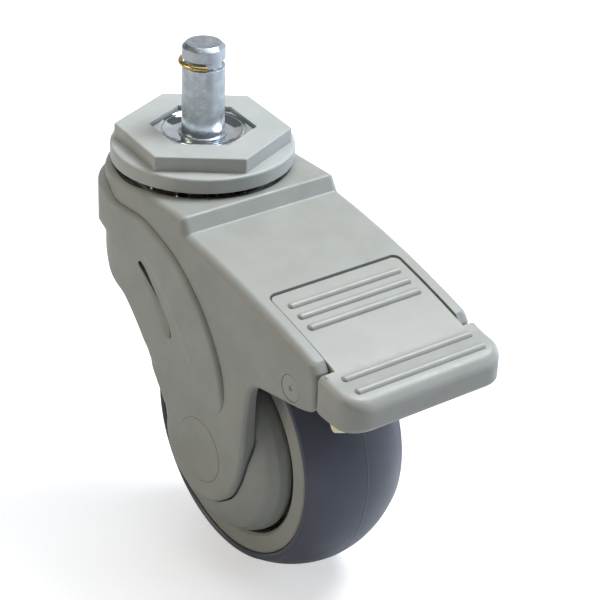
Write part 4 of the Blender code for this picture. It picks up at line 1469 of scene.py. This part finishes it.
# %% [markdown]
# ## Floor and light
#
# The caster stands on a pale floor that curves up behind it, so there is no horizon. The
# floor glows a little towards the camera only, so it reads as white paper and throws no
# extra light on the caster. The big lights hang behind it to the right and overhead,
# which brightens the tops and leaves the cheek in soft shade. Two cool ones graze the
# right side, and a warm, weaker one fills from the left.

# %% Build the studio
FLOOR_Z = AXLE[1] - TREAD_R
FLOOR_GLOW = 0.9
SKY_STRENGTH = 0.17
AIM = Vector((AXLE[0], 0, -35.0))   # where the lights point


def studio_floor():
    """A flat floor whose far side bends up into a wall, turned to face the camera."""
    depth, rise, bend, half_width, heading = 900.0, 700.0, 250.0, 1500.0, 128
    profile = [(-depth, 0.0), (depth - bend, 0.0)]
    profile += arc(depth - bend, bend, bend, -90, 0, 24) + [(depth, rise)]
    bm = bmesh.new()
    turn = Matrix.Rotation(math.radians(heading), 4, "Z")
    strip(bm, *([bm.verts.new(turn @ Vector((x, y, z + FLOOR_Z))) for x, z in profile]
                for y in (-half_width, half_width)))
    floor = to_mesh("studio_floor", bm)
    floor.data.shade_smooth()
    return floor


def floor_paper():
    """White paper with a glow that only the camera sees."""
    material, tree, shader, place = new_material("matt_white_paper", "", Roughness=0.9)
    paper = mottled(tree, place, 60.0, "C8C8C8", "CBCBCB")
    tree.links.new(paper, shader.inputs["Base Color"])
    tree.links.new(paper, shader.inputs["Emission Color"])
    seen = add(tree, "ShaderNodeLightPath").outputs["Is Camera Ray"]
    tree.links.new(maths(tree, "MULTIPLY", seen, FLOOR_GLOW), shader.inputs["Emission Strength"])
    return material


def soft_light(name, azimuth, elevation, distance, size, watts, tint):
    """A square light that looks at the caster from an azimuth and an elevation."""
    light = bpy.data.lights.new(name, "AREA")
    light.size = size * MM
    light.energy = watts
    light.color = linear(tint)[:3]
    lamp = bpy.data.objects.new(name, light)
    around, up = math.radians(azimuth), math.radians(elevation)
    away = Vector((math.sin(around) * math.cos(up), -math.cos(around) * math.cos(up), math.sin(up)))
    lamp.location = (AIM + away * distance) * MM
    lamp.rotation_euler = (-away).to_track_quat("-Z", "Y").to_euler()
    bpy.context.collection.objects.link(lamp)
    return lamp


floor = studio_floor()
floor.data.materials.append(floor_paper())
soft_light("key softbox", 168, 60, 1300, 500, 17.5, "F2F8FF")
soft_light("overhead panel", 215, 80, 1500, 1400, 18.0, "F6FAFF")
soft_light("side softbox", 135, 15, 1100, 300, 2.4, "D6E6FF")
soft_light("rim strip", 182, 2, 1000, 350, 4.0, "B8D4FF")
soft_light("left fill", -24, 18, 1300, 500, 4.7, "FFF1DA")

world = bpy.data.worlds.new("studio")
bpy.context.scene.world = world
world.use_nodes = True
backdrop = world.node_tree.nodes["Background"]
backdrop.inputs["Color"].default_value = linear("F4F6F8")
backdrop.inputs["Strength"].default_value = SKY_STRENGTH
bpy.context.scene.view_settings.view_transform = "Standard"
print("floor at", round(FLOOR_Z, 1), "mm")

# %% [markdown]
# ## The camera
#
# A long lens from the front right and above, with a slight roll, as a small part is
# usually shown.

# %% Place the camera
CAMERA_AT = Vector((404.8, -279.8, 222.4))
AZIMUTH, ELEVATION, ROLL = (math.radians(angle) for angle in (52.236, 29.053, 2.155))

camera_data = bpy.data.cameras.new("camera")
camera_data.lens = 125.0
camera_data.sensor_width = 36.0
camera_data.clip_start = 10 * MM
camera_data.clip_end = 20.0
camera = bpy.data.objects.new("camera", camera_data)
turn = (Matrix.Rotation(AZIMUTH, 4, "Z") @ Matrix.Rotation(math.pi / 2 - ELEVATION, 4, "X")
        @ Matrix.Rotation(ROLL, 4, "Z"))
camera.matrix_world = Matrix.Translation(CAMERA_AT * MM) @ turn
bpy.context.collection.objects.link(camera)
bpy.context.scene.camera = camera
print("camera", [round(v) for v in CAMERA_AT], "mm from the stem")
